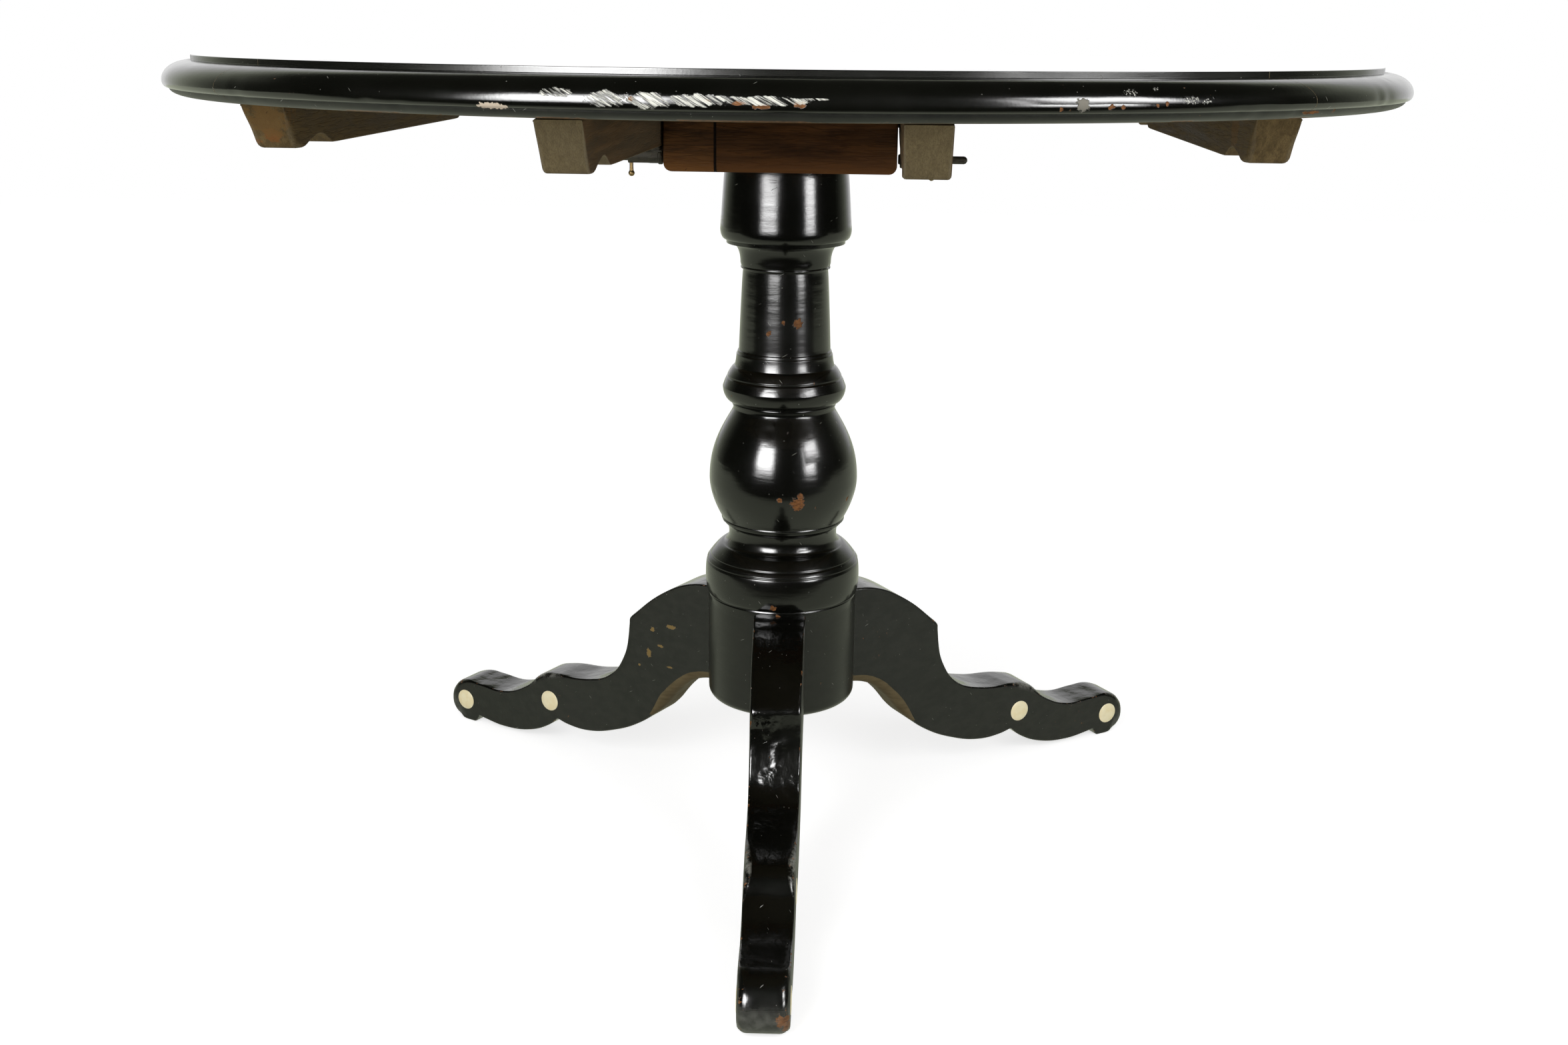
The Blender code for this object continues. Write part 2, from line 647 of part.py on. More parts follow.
def make_case(label, side):
    """An iron case: a plate under the bearer with a barrel that the bolt slides in."""
    name = f"{label}_bolt_case"
    top = case_top() - BOLT_Z
    barrel = BOLT_RADIUS + PIVOT_PLAY + CASE_WALL
    wing = CASE_PLATE_WIDTH / 2
    plate = top - CASE_PLATE_THICKNESS
    half_outline = [(wing, top), (wing, top - CASE_PLATE_EDGE), (barrel, plate)]
    flat = barrel * CASE_CHAMFER_SHARE
    half_outline += [(barrel, -flat), (flat, -barrel)]
    outline = half_outline + [(-across, up) for across, up in reversed(half_outline)]
    mesh = outline_mesh(name, [(across, up, CORNER) for across, up in outline], CASE_LENGTH)
    centre = BEARER_INNER + SEAT_GAP + CASE_LENGTH / 2
    upright = (math.pi / 2, 0.0, math.pi / 2)
    case = add_part(name, mesh, IRON, (side * centre, BOLT_Y, BOLT_Z), upright, TOP_TURN)
    inner, outer = side * (centre - CASE_LENGTH), side * (centre + CASE_LENGTH)
    bore = [((inner, BOLT_Y, BOLT_Z), (outer, BOLT_Y, BOLT_Z), BOLT_RADIUS + PIVOT_PLAY)]
    bore_holes(case, f"{name}_bore", bore, PIN_SEGMENTS)
    seat = case_screw_seat()
    holes = []
    for number, (x, y) in enumerate(case_screw_places(side), 1):
        low, high = (x, y, seat - CASE_SCREW_LENGTH), (x, y, seat + CASE_SCREW_LENGTH)
        holes.append((low, high, CASE_SCREW_RADIUS + SEAT_GAP))
        make_case_screw(f"{label}_case_screw_{number}", (x, y, seat))
    bore_holes(case, f"{name}_holes", holes, SCREW_SEGMENTS)
    rest = BLOCK_HALF + BOLT_TIP_GAP + FINGER_PIN_PLACE
    slot = FINGER_PIN_RADIUS + PIVOT_PLAY
    low_x, high_x = sorted((side * (rest + slot), side * (rest - BOLT_TRAVEL - slot)))
    low = (low_x, BOLT_Y - slot, BOLT_Z - barrel - CASE_WALL)
    high = (high_x, BOLT_Y + slot, BOLT_Z)
    boolean(case, add_cutter(f"{name}_slot", box_mesh(f"{name}_slot", low, high)))


def make_case_screw(name, place):
    """A small screw, driven up through the case's plate into the bearer."""
    head, shank = CASE_SCREW_HEAD_RADIUS, CASE_SCREW_RADIUS
    profile = [
        (0.0, CASE_SCREW_LENGTH - SEAT_GAP),
        (shank, CASE_SCREW_LENGTH - SEAT_GAP - CASE_SCREW_POINT),
        (shank, 0.0),
        (head, 0.0),
        (head, -CASE_SCREW_HEAD_HEIGHT),
        (0.0, -CASE_SCREW_HEAD_HEIGHT),
    ]
    turn(add_part(name, profile_mesh(name, profile), IRON, place, carrier=TOP_TURN), SCREW_SEGMENTS)


def make_bolt(label, side):
    """A lock bolt with its finger pin, drawn back just clear of the block."""
    tip = Vector((side * (BLOCK_HALF + BOLT_TIP_GAP), BOLT_Y, BOLT_Z))
    axis = make_empty(f"{label}_bolt_axis", tip, TOP_TURN)
    round_end = (0.0, BOLT_LENGTH)
    profile = [round_end]
    profile += quarter(round_end, (BOLT_STEM_RADIUS, BOLT_LENGTH - BOLT_STEM_RADIUS), 3, True)
    profile += [
        (BOLT_STEM_RADIUS, BOLT_BODY_LENGTH),
        (BOLT_RADIUS, BOLT_BODY_LENGTH),
        (BOLT_RADIUS, BOLT_TIP_CHAMFER),
        (BOLT_RADIUS - BOLT_TIP_CHAMFER, 0.0),
        (0.0, 0.0),
    ]
    outward = (0.0, side * math.pi / 2, 0.0)
    bolt = add_part(f"{label}_bolt", profile_mesh(f"{label}_bolt", profile), IRON, tip, outward, axis, tip)
    turn(bolt, PIN_SEGMENTS)
    x = tip.x + side * FINGER_PIN_PLACE
    seat = BOLT_RADIUS / 2
    below = BOLT_Z - BOLT_RADIUS - CASE_WALL
    hole = ((x, BOLT_Y, BOLT_Z + seat), (x, BOLT_Y, below), FINGER_PIN_RADIUS + SEAT_GAP)
    bore_holes(bolt, f"{label}_finger_hole", [hole], PIN_SEGMENTS)
    ball = -FINGER_PIN_DROP
    waist = ball + math.sqrt(FINGER_BALL_RADIUS**2 - FINGER_PIN_RADIUS**2)
    profile = [(0.0, seat - SEAT_GAP), (FINGER_PIN_RADIUS, seat - SEAT_GAP), (FINGER_PIN_RADIUS, waist)]
    profile += quarter(profile[-1], (FINGER_BALL_RADIUS, ball), 2, True)
    profile += quarter((FINGER_BALL_RADIUS, ball), (0.0, ball - FINGER_BALL_RADIUS), 4, False)
    name = f"{label}_finger_pin"
    pin = add_part(name, profile_mesh(name, profile), BRASS, (x, BOLT_Y, BOLT_Z), (0.0, 0.0, 0.0), axis, tip)
    turn(pin, SCREW_SEGMENTS)


def column_profile(growth=0.0):
    """The column from its top tenon to the drum's lower edge, with its radii grown if asked."""
    top = BLOCK_BOTTOM - SEAT_GAP
    drum_top = DRUM_FOOT + DRUM_HEIGHT
    heights_above = (CAPITAL_HEIGHT, CAPITAL_ROLL_HEIGHT, NECK_HEIGHT)
    shaft_top = top - sum(heights_above)
    tenon_top = BLOCK_TOP - SEAT_GAP
    points = [(0.0, tenon_top), (COLUMN_TENON_RADIUS, tenon_top), (COLUMN_TENON_RADIUS, top)]
    points += [(CAPITAL_TOP_RADIUS, top), (CAPITAL_RADIUS, top - CAPITAL_HEIGHT)]
    points += quarter(points[-1], (NECK_COLLAR_RADIUS, shaft_top + NECK_HEIGHT), 4, False)
    points.append((NECK_COLLAR_RADIUS, shaft_top + NECK_HEIGHT / 2))
    points.append((NECK_RADIUS, shaft_top))
    base_top = drum_top + BASE_RING_HEIGHT + BASE_GROOVE_HEIGHT + BASE_ROLL_HEIGHT
    cove_top = base_top + COVE_HEIGHT
    vase_foot = cove_top + COVE_FILLET_HEIGHT
    vase_middle = vase_foot + VASE_FOOT_HEIGHT
    vase_top = vase_middle + VASE_SHOULDER_HEIGHT
    ring_foot = vase_top + VASE_NECK_HEIGHT
    ring_top = ring_foot + RING_HEIGHT
    points.append((SHAFT_FOOT_RADIUS, ring_top + COLLAR_HEIGHT))
    collar_step = (COLLAR_RADIUS + SHAFT_FOOT_RADIUS) / 2
    points.append((collar_step, ring_top + COLLAR_HEIGHT * COLLAR_STEP_SHARE))
    points.append((COLLAR_RADIUS, ring_top))
    ring_middle = ring_foot + RING_HEIGHT * RING_WIDEST_SHARE
    points += slope(points[-1], (RING_RADIUS, ring_middle), 4, RING_FULLNESS)
    points += quarter(points[-1], (VASE_NECK_RADIUS, ring_foot), 3, False)
    points.append((VASE_NECK_RADIUS, vase_top))
    points += swell(points[-1], (VASE_RADIUS, vase_middle), 8, VASE_SHOULDER_FULLNESS)
    points += slope(points[-1], (VASE_FOOT_RADIUS, vase_foot), 4, VASE_FOOT_FULLNESS)
    points.append((VASE_FOOT_RADIUS - (VASE_FOOT_RADIUS - COVE_RADIUS) / 3, cove_top))
    cove_middle = base_top + COVE_HEIGHT / 2
    points += quarter(points[-1], (COVE_RADIUS, cove_middle), 2, True)
    points += quarter(points[-1], (VASE_FOOT_RADIUS, base_top), 3, False)
    roll_foot = drum_top + BASE_RING_HEIGHT + BASE_GROOVE_HEIGHT
    points += slope(points[-1], (BASE_GROOVE_RADIUS, roll_foot), 4, BASE_ROLL_FULLNESS)
    ring_edge = (BASE_GROOVE_RADIUS, drum_top + BASE_RING_HEIGHT)
    points.append(ring_edge)
    ring_half = (BASE_RING_RADIUS, drum_top + BASE_RING_HEIGHT / 2)
    points += quarter(ring_edge, ring_half, 2, True)
    points += quarter(ring_half, (DRUM_RADIUS, drum_top), 2, False)
    points.append((DRUM_RADIUS, DRUM_FOOT + DRUM_EDGE_ROUNDING))
    points += quarter(points[-1], (DRUM_RADIUS - DRUM_EDGE_ROUNDING, DRUM_FOOT), 3, False)
    points.append((0.0, DRUM_FOOT))
    return [(radius + growth if radius > 0.0 else 0.0, height) for radius, height in points]


def dovetail_mesh(name, growth, foot):
    """A leg's dovetail, wider at its root inside the drum, from a foot height to its top."""
    root = DRUM_RADIUS - DOVETAIL_DEPTH - growth
    mouth = DRUM_RADIUS + DOVETAIL_SHOULDER
    flare = (DOVETAIL_ROOT_WIDTH - DOVETAIL_NECK_WIDTH) / 2 / DOVETAIL_DEPTH
    root_half = DOVETAIL_ROOT_WIDTH / 2 + growth
    mouth_half = root_half - flare * (mouth - root)
    top = LEG_TOP - DOVETAIL_SHOULDER + growth
    corners = [(root, -root_half), (mouth, -mouth_half), (mouth, mouth_half), (root, root_half)]
    mesh = outline_mesh(name, [(along, across, CORNER) for along, across in corners], top - foot)
    mesh.transform(Matrix.Translation((0.0, 0.0, (top + foot) / 2)))
    return mesh


def make_wedge():
    """The wedge that spreads the column's tenon in the block, and its slot."""
    top = BLOCK_TOP - SEAT_GAP
    meshes = []
    across_tenon = 2 * COLUMN_TENON_RADIUS
    for name, growth, length, over in (
        ("tenon_wedge", 0.0, across_tenon * WEDGE_LENGTH_SHARE, 0.0),
        ("tenon_wedge_slot", SEAT_GAP, 2 * across_tenon, WEDGE_TIP_WIDTH),
    ):
        wide, thin = WEDGE_TOP_WIDTH / 2 + growth, WEDGE_TIP_WIDTH / 2 + growth
        deep = -WEDGE_DEPTH - growth
        corners = [(-wide, over), (-thin, deep), (thin, deep), (wide, over)]
        meshes.append(outline_mesh(name, [(across, up, CORNER) for across, up in corners], length))
    upright = (math.pi / 2, 0.0, 0.0)
    add_part("tenon_wedge", meshes[0], BARE_WOOD, (0.0, 0.0, top), upright)
    return add_cutter("tenon_wedge_slot", meshes[1], (0.0, 0.0, top), upright)


def leg_thickness(along):
    """A leg's thickness at a distance from the column's axis: it thins evenly from its root to its toe."""
    share = (along - DRUM_RADIUS) / (LEG_REACH - DRUM_RADIUS)
    return LEG_ROOT_THICKNESS + (LEG_TOE_THICKNESS - LEG_ROOT_THICKNESS) * share


def leg_knots():
    """The scroll of a leg, drawn from the drum's face to the toe and back underneath."""
    span = LEG_REACH - DRUM_RADIUS
    root = DRUM_RADIUS - DOVETAIL_DEPTH / 2
    placed = [
        (DRUM_RADIUS + span * along, LEG_TOP * up, handle)
        for along, up, handle in SCROLL_TOP + SCROLL_TOE + SCROLL_UNDER
    ]
    return [(root, LEG_TOP, CORNER)] + placed + [(root, LEG_TOP * SCROLL_ROOT_UNDER, CORNER)]


def disc_places():
    """The scroll's eyes, as (distance from the column's axis, height)."""
    span = LEG_REACH - DRUM_RADIUS
    return [(DRUM_RADIUS + span * along, LEG_TOP * up) for along, up in SCROLL_EYES]


def make_leg(label, heading):
    """A sawn leg at a heading about the column, dovetailed into the drum, with its bone discs."""
    spin = Matrix.Rotation(heading, 4, "Z")
    mesh = outline_mesh(f"{label}_leg", leg_knots(), LEG_ROOT_THICKNESS)
    round_flat_edges(mesh, LEG_EDGE_ROUNDING)
    for vert in mesh.vertices:
        vert.co.z *= leg_thickness(vert.co.x) / LEG_ROOT_THICKNESS
    smooth(mesh)
    leg = add_part(f"{label}_leg", mesh, LACQUER, (0.0, 0.0, 0.0), (math.pi / 2, 0.0, heading))
    boolean(leg, bpy.data.objects["column_clearance"])
    foot = LEG_TOP * SCROLL_ROOT_UNDER
    tail_mesh = dovetail_mesh(f"{label}_dovetail", 0.0, foot + DOVETAIL_SHOULDER)
    boolean(leg, add_cutter(f"{label}_dovetail", tail_mesh, rotation=(0.0, 0.0, heading)), "UNION")
    recesses = []
    for side_label, side in SIDES:
        for number, (along, height) in enumerate(disc_places(), 1):
            face = leg_thickness(along) / 2
            inner = side * (face + DISC_PROUD - DISC_THICKNESS)
            start = spin @ Vector((along, inner - side * SEAT_GAP, height))
            end = spin @ Vector((along, side * (face + DISC_THICKNESS), height))
            recesses.append((start, end, DISC_RADIUS + SEAT_GAP))
            name = f"{label}_leg_{side_label}_disc_{number}"
            rod = (Vector(), Vector((0.0, side * DISC_THICKNESS, 0.0)), DISC_RADIUS)
            disc = rods_mesh(name, [rod], DISC_SEGMENTS)
            smooth(disc)
            place = spin @ Vector((along, inner, height))
            add_part(name, disc, BONE, place, (0.0, 0.0, heading))
    bore_holes(leg, f"{label}_disc_recesses", recesses, DISC_SEGMENTS)
    slot_mesh = dovetail_mesh(f"{label}_dovetail_slot", SEAT_GAP, DRUM_FOOT - DRUM_HEIGHT)
    return add_cutter(f"{label}_dovetail_slot", slot_mesh, rotation=(0.0, 0.0, heading))


def make_stand():
    """The column with its wedge, and the legs about it."""
    column = add_part("column", profile_mesh("column", column_profile()), LACQUER, (0.0, 0.0, 0.0))
    turn(column, COLUMN_SEGMENTS)
    clearance = add_cutter("column_clearance", profile_mesh("column_clearance", column_profile(SEAT_GAP)))
    turn(clearance, COLUMN_SEGMENTS)
    for number, label in enumerate(("front", "right", "left")):
        heading = -math.pi / 2 + LEG_TURN + number * 2 * math.pi / LEG_COUNT
        boolean(column, make_leg(label, heading))
    boolean(column, make_wedge())


make_boards(make_battens())
make_block()
for bolt_label, bolt_side in SIDES:
    make_case(bolt_label, bolt_side)
    make_bolt(bolt_label, bolt_side)
make_stand()
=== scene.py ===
"""Tilt-top pedestal table in old black lacquer, dressed over its fixed frame of solids.

Metres, +Z up, the origin on the floor under the column. Every piece is a surface worked out as whole
arrays: a turned profile, or an outline given its thickness with its edges rounded over.
"""

import math

import bmesh
import bpy
import numpy as np
from bpy.props import FloatProperty, FloatVectorProperty, IntProperty, PointerProperty
from bpy.types import Operator, Panel, PropertyGroup
from mathutils import Matrix, Vector


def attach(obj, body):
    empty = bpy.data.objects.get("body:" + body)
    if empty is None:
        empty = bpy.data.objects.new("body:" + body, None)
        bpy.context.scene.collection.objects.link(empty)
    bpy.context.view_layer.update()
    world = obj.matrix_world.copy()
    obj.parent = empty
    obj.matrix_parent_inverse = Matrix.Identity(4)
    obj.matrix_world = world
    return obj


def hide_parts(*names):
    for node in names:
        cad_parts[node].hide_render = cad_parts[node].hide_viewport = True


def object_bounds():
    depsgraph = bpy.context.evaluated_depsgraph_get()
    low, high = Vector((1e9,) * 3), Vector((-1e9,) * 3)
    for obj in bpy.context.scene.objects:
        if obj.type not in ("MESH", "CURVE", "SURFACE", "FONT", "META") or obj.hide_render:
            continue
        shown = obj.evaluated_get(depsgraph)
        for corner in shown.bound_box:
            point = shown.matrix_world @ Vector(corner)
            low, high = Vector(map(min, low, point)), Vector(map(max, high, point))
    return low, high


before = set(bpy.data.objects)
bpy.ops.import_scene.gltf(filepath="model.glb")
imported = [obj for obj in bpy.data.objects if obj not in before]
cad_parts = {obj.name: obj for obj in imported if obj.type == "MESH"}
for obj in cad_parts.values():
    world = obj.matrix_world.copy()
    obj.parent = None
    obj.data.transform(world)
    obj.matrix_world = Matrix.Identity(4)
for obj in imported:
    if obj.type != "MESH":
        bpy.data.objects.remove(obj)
CAD_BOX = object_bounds()

bl_info = {
    "name": "Tilt-top pedestal table",
    "version": (1, 0, 0),
    "blender": (4, 5, 0),
    "location": "View3D > Sidebar > Table",
    "description": "Builds a lacquered tilt-top table over its fixed frame",
    "category": "Object",
}

SIDES = (("left", -1), ("right", 1))
BOARDS = ("front_edge_board", "front_board", "centre_board", "rear_board", "rear_edge_board")
LEGS = ("front", "right", "left")
SQUARE = np.array([(-1, -1), (1, -1), (1, 1), (-1, 1)])
GREENISH = (0.94, 1.0, 0.78)

# The gap between seated pieces and the one about sliding pieces, how far a cutter goes past a face, the ease
# of the block's edges, and how far a pivot pin goes in and out of the block's side.
SEAT_GAP, PLAY = 0.0003, 0.0004
PAST = 0.004
EASE = 0.0008
PIN_IN, PIN_OUT = 0.036, 0.034

# Points from knot to knot of a batten's outline.
KNOT_STEPS = 14

# The leg's scroll as knots (along, up, smooth): from the drum's face to the toe, and back underneath.
SCROLL = (
    (0.06, 0.987, 1), (0.16, 0.912, 1), (0.280, 0.758, 0), (0.282, 0.675, 1), (0.301, 0.558, 1),
    (0.355, 0.445, 1), (0.455, 0.388, 1), (0.575, 0.372, 1), (0.628, 0.347, 1), (0.682, 0.270, 1),
    (0.775, 0.209, 1), (0.875, 0.211, 1), (0.938, 0.211, 1), (0.982, 0.170, 1), (1.0, 0.095, 1),
    (0.985, 0.030, 1), (0.950, 0.0, 0), (0.897, 0.0, 0), (0.880, 0.038, 0), (0.855, 0.031, 1),
    (0.775, 0.019, 1), (0.670, 0.042, 1), (0.594, 0.098, 1), (0.560, 0.143, 0), (0.520, 0.128, 1),
    (0.440, 0.126, 1), (0.345, 0.166, 1), (0.250, 0.238, 1), (0.180, 0.325, 1), (0.118, 0.440, 1),
    (0.055, 0.520, 1),
)
SCROLL_ROOT_UNDER = 0.553
SCROLL_EYES = ((0.587, 0.229), (0.932, 0.109))


def length(label, text, default):
    """A property in metres."""
    return FloatProperty(name=label, description=text, default=default, unit="LENGTH", precision=4)


def share(label, text, default):
    """A property from 0 to 1."""
    return FloatProperty(name=label, description=text, default=default, min=0.0, max=1.0, subtype="FACTOR")


def angle(label, text, degrees):
    """A property that is an angle."""
    return FloatProperty(name=label, description=text, default=math.radians(degrees), subtype="ANGLE")


def colour(label, text, default):
    """A colour property."""
    return FloatVectorProperty(name=label, description=text, default=default, subtype="COLOR", min=0, max=1)


class TopSizes(PropertyGroup):
    """Sizes of the moulded round top."""

    radius: length("Radius", "To the widest point of the nose", CAD_BOX[1].x)
    height: length("Height", "From the floor to the top", CAD_BOX[1].z)
    thickness: length("Thickness", "Of the boards", 0.032)
    fillet_inset: length("Fillet inset", "From the nose back to the fillet", 0.024)
    fillet_height: length("Fillet height", "Of the step above the nose", 0.0043)
    nose_return: length("Nose return", "From the widest point back to the nose's foot", 0.0035)
    nose_share: share("Nose share", "Of the nose's height, below its widest point", 0.24)
    quirk: length("Quirk", "Depth of the nick under the nose", 0.0015)
    band_height: length("Band height", "Of the rounded band under the nose", 0.0066)
    band_inset: length("Band inset", "From the widest point back to the underside", 0.0185)
    centre_share: share("Centre board", "Share of the width", 0.230)
    side_share: share("Side boards", "Share of the width", 0.234)
    joint: length("Joint", "Gap between two boards", 0.0003)
    knocks: IntProperty(name="Knocks", description="Dents round the edge", default=46, min=0)


class BattenSizes(PropertyGroup):
    """Sizes of the bearers and the outer battens."""

    width: length("Width", "Of a batten", 0.033)
    bearer_end: length("Bearer end depth", "At the foot", 0.0395)
    bearer_middle: length("Bearer middle depth", "At the block", 0.0436)
    outer_depth: length("Outer depth", "Of an outer batten", 0.0365)
    outer_share: share("Outer place", "Share of the top's radius", 0.698)
    inset: length("Inset", "From the underside's edge to a batten's end", 0.028)
    undercut: length("Undercut", "Of a batten's end", 0.030)
    foot: length("Foot", "Length of the flat foot", 0.012)
    rounding: length("Foot rounding", "At the foot's outer corner", 0.008)
    notch: length("Notch", "Length of the hollow behind the foot", 0.070)
    notch_height: length("Notch height", "Of the hollow", 0.0085)
    edge: length("Edge", "Rounding of the long edges", 0.0012)
    bearer_foot_edge: length("Bearer foot edge", "Rounding round a bearer's foot", 0.0026)
    outer_foot_edge: length("Outer foot edge", "Rounding round an outer batten's foot", 0.005)
    screw_head: length("Screw head", "Radius of a wood screw's head", 0.0042)
    screw_sink: length("Screw sink", "Depth of a screw's well", 0.010)
    screw_share: share("Outer screws", "Share of the top's radius", 0.275)


class BlockSizes(PropertyGroup):
    """Sizes of the block that the top tilts on."""

    size: length("Size", "Along each side", 0.206)
    thickness: length("Thickness", "Of the block", 0.0646)
    strip: length("Side strip", "Width of the lighter strip", 0.046)
    lower_rounding: length("Lower rounding", "Of the lower edges", 0.008)
    pivot_rounding: length("Pivot rounding", "Of the rear top edge", 0.027)
    corner: length("Corner", "Rounding of the upright edges", 0.002)
    play: length("Play", "From the block to a bearer", 0.002)
    pin: length("Pin", "Radius of a pivot pin", 0.006)
    tenon: length("Tenon", "Radius of the column's tenon", 0.028)


class BoltSizes(PropertyGroup):
    """Sizes of the two lock bolts."""

    setback: length("Setback", "From the block's front edge to the bolt", 0.017)
    drop: length("Drop", "From the underside to the bolt", 0.052)
    radius: length("Bolt", "Radius of the bolt", 0.0045)
    stem: length("Stem", "Radius of the bolt's outer end", 0.0034)
    body: length("Body", "Length of the thick part", 0.040)
    reach: length("Length", "Of the whole bolt", 0.061)
    tip_gap: length("Tip gap", "From the bolt to the block", 0.0007)
    case: length("Case", "Length of the case", 0.031)
    wall: length("Wall", "Of the case's barrel", 0.0018)
    plate: length("Plate", "Width of the case's plate", 0.042)
    plate_thickness: length("Plate thickness", "Of the case's plate", 0.003)
    pin: length("Finger pin", "Radius of the finger pin", 0.00185)
    pin_place: length("Pin place", "From the bolt's tip", 0.030)
    pin_drop: length("Pin drop", "From the bolt's axis to the ball", 0.0155)
    ball: length("Ball", "Radius of the pin's ball", 0.0028)
    travel: length("Travel", "Of the bolt", 0.015)


class ColumnSizes(PropertyGroup):
    """Sizes of the turned column: radii first, then heights."""

    capital_top: length("Capital top", "Radius under the block", 0.058)
    capital: length("Capital", "Widest radius of the capital", 0.0625)
    neck_fillet: length("Neck fillet", "Radius of the fillet under the capital", 0.0566)
    neck: length("Neck", "Radius of the neck", 0.0432)
    shaft_top: length("Shaft top", "Radius of the shaft's top", 0.0407)
    shaft_foot: length("Shaft foot", "Radius of the shaft's foot", 0.0445)
    collar: length("Collar", "Radius of the collar", 0.0485)
    ring: length("Ring", "Radius of the ring", 0.060)
    vase_neck: length("Vase neck", "Radius of the vase's neck", 0.0497)
    vase: length("Vase", "Widest radius of the vase", 0.073)
    vase_foot: length("Vase foot", "Radius of the vase's foot", 0.0605)
    cove: length("Cove", "Radius in the cove", 0.0535)
    base_groove: length("Base groove", "Radius at the base's groove", 0.0755)
    base_ring: length("Base ring", "Radius of the base ring", 0.077)
    drum: length("Drum", "Radius of the drum", 0.074)
    capital_height: length("Capital height", "Of the barrel", 0.0585)
    neck_height: length("Neck height", "From the capital's edge to the shaft", 0.038)
    collar_height: length("Collar height", "Of the collar", 0.0155)
    ring_height: length("Ring height", "Of the ring", 0.0355)
    vase_neck_height: length("Vase neck height", "Of the vase's neck", 0.0065)
    shoulder_height: length("Shoulder height", "Of the vase's shoulder", 0.070)
    foot_height: length("Foot height", "Of the vase's lower half", 0.0395)
    fillet_height: length("Fillet height", "Of the fillet over the cove", 0.0055)
    cove_height: length("Cove height", "Of the cove", 0.022)
    roll_height: length("Roll height", "Of the base's sloping roll", 0.016)
    groove_height: length("Groove height", "Of the base's groove", 0.002)
    base_height: length("Base height", "Of the base ring", 0.032)
    drum_height: length("Drum height", "Of the drum", 0.112)
    drum_foot: length("Drum foot", "From the floor to the drum", 0.122)
    knocks: IntProperty(name="Knocks", description="Dents in the rings", default=26, min=0)


class LegSizes(PropertyGroup):
    """Sizes of the three scroll legs."""

    reach: length("Reach", "From the column's axis to the toe", 0.441)
    top: length("Top", "From the floor to the leg's root", 0.2295)
    root: length("Root thickness", "At the drum", 0.050)
    toe: length("Toe thickness", "At the toe", 0.043)
    inlet: length("Inlet", "How far a leg goes into the drum", 0.014)
    edge: length("Edge", "Rounding of the sawn edges", 0.002)
    bevel: length("Bevel", "Of the bare wood under the root", 0.011)
    turn: angle("Turn", "Of the front leg from square", 2.0)
    disc: length("Disc", "Radius of a bone disc", 0.0115)
    disc_thickness: length("Disc thickness", "Of a bone disc", 0.0035)
    disc_proud: length("Disc proud", "How far a disc stands out", 0.0006)


class TableColours(PropertyGroup):
    """Colours of the finishes."""

    lacquer: colour("Lacquer", "Glossy black lacquer", (0.0018, 0.0019, 0.0013))
    satin: colour("Satin", "Worn lacquer on the legs' sides", (0.0085, 0.0090, 0.0066))
    chip: colour("Chips", "Wood that shows through the lacquer", (0.19, 0.075, 0.02))
    # This grey also paints the highlight on the legs' hump corners, laid on as rubbed lacquer.
    dust_and_sheen: colour("Scuffs", "Grey of scuffs and specks", (0.33, 0.33, 0.29))
    wood: colour("Bare wood", "Aged wood of the battens", (0.168, 0.132, 0.067))
    wood_dark: colour("Dark grain", "Dark grain of the battens", (0.058, 0.040, 0.018))
    block: colour("Block", "Reddish wood of the block", (0.076, 0.031, 0.0085))
    block_dark: colour("Block grain", "Dark grain of the block", (0.020, 0.0080, 0.0026))
    strip: colour("Strip", "Orange wood of the side strip", (0.108, 0.046, 0.0125))
    iron: colour("Iron", "Dark wrought iron", (0.030, 0.026, 0.016))
    brass: colour("Brass", "Dull brass", (0.24, 0.165, 0.072))
    bone: colour("Bone", "Cream bone", (0.94, 0.85, 0.57))


class StageSettings(PropertyGroup):
    """Camera, lamps and floor."""

    eye: FloatVectorProperty(
        name="Eye", description="Place of the camera", default=(0.0965, -1.5747, 0.7707), subtype="XYZ",
        unit="LENGTH",
    )
    heading: angle("Heading", "Of the camera", 3.462)
    pitch: angle("Pitch", "Down from level", 16.521)
    roll: angle("Roll", "Of the camera", 0.65)
    lens: FloatProperty(name="Lens", description="In millimetres on a 36 mm frame", default=37.785)
    left_power: FloatProperty(name="Left lamp", description="Power", default=19.0, unit="POWER")
    right_power: FloatProperty(name="Right lamp", description="Power", default=14.0, unit="POWER")
    card: FloatProperty(name="Softbox", description="Brightness of the softboxes in the gloss", default=36.0)
    ambient: FloatProperty(name="Ambient", description="Level of the room's light", default=0.45)


def run(*parts):
    """Joins points and runs of points into one profile."""
    return np.vstack([np.atleast_2d(np.asarray(part, float)) for part in parts])


def between(start, end, across, down):
    """Places at shares across and down of the way from a start to an end."""
    start, end = np.asarray(start, float), np.asarray(end, float)
    return start + (end - start) * np.stack([across, down], axis=1)


def quarter(start, end, steps, flat):
    """A quarter ellipse after its start, which it leaves level (flat) or upright: across and down go as
    the sine of an even angle and one less its cosine."""
    angle = np.linspace(0.0, np.pi / 2, steps + 1)[1:]
    shares = np.sin(angle), 1.0 - np.cos(angle)
    return between(start, end, *(shares if flat else shares[::-1]))


def swell(start, end, steps, fullness):
    """An S-shaped run after its start: across goes as half of one less the cosine of pi times the share
    of the way down, to the power of the fullness."""
    down = np.linspace(0.0, 1.0, steps + 1)[1:]
    return between(start, end, (1.0 - np.cos(np.pi * down**fullness)) / 2, down)


def slope(start, end, steps, fullness):
    """A run after its start: across goes as the share of the way down, to the power of the fullness."""
    down = np.linspace(0.0, 1.0, steps + 1)[1:]
    return between(start, end, down**fullness, down)


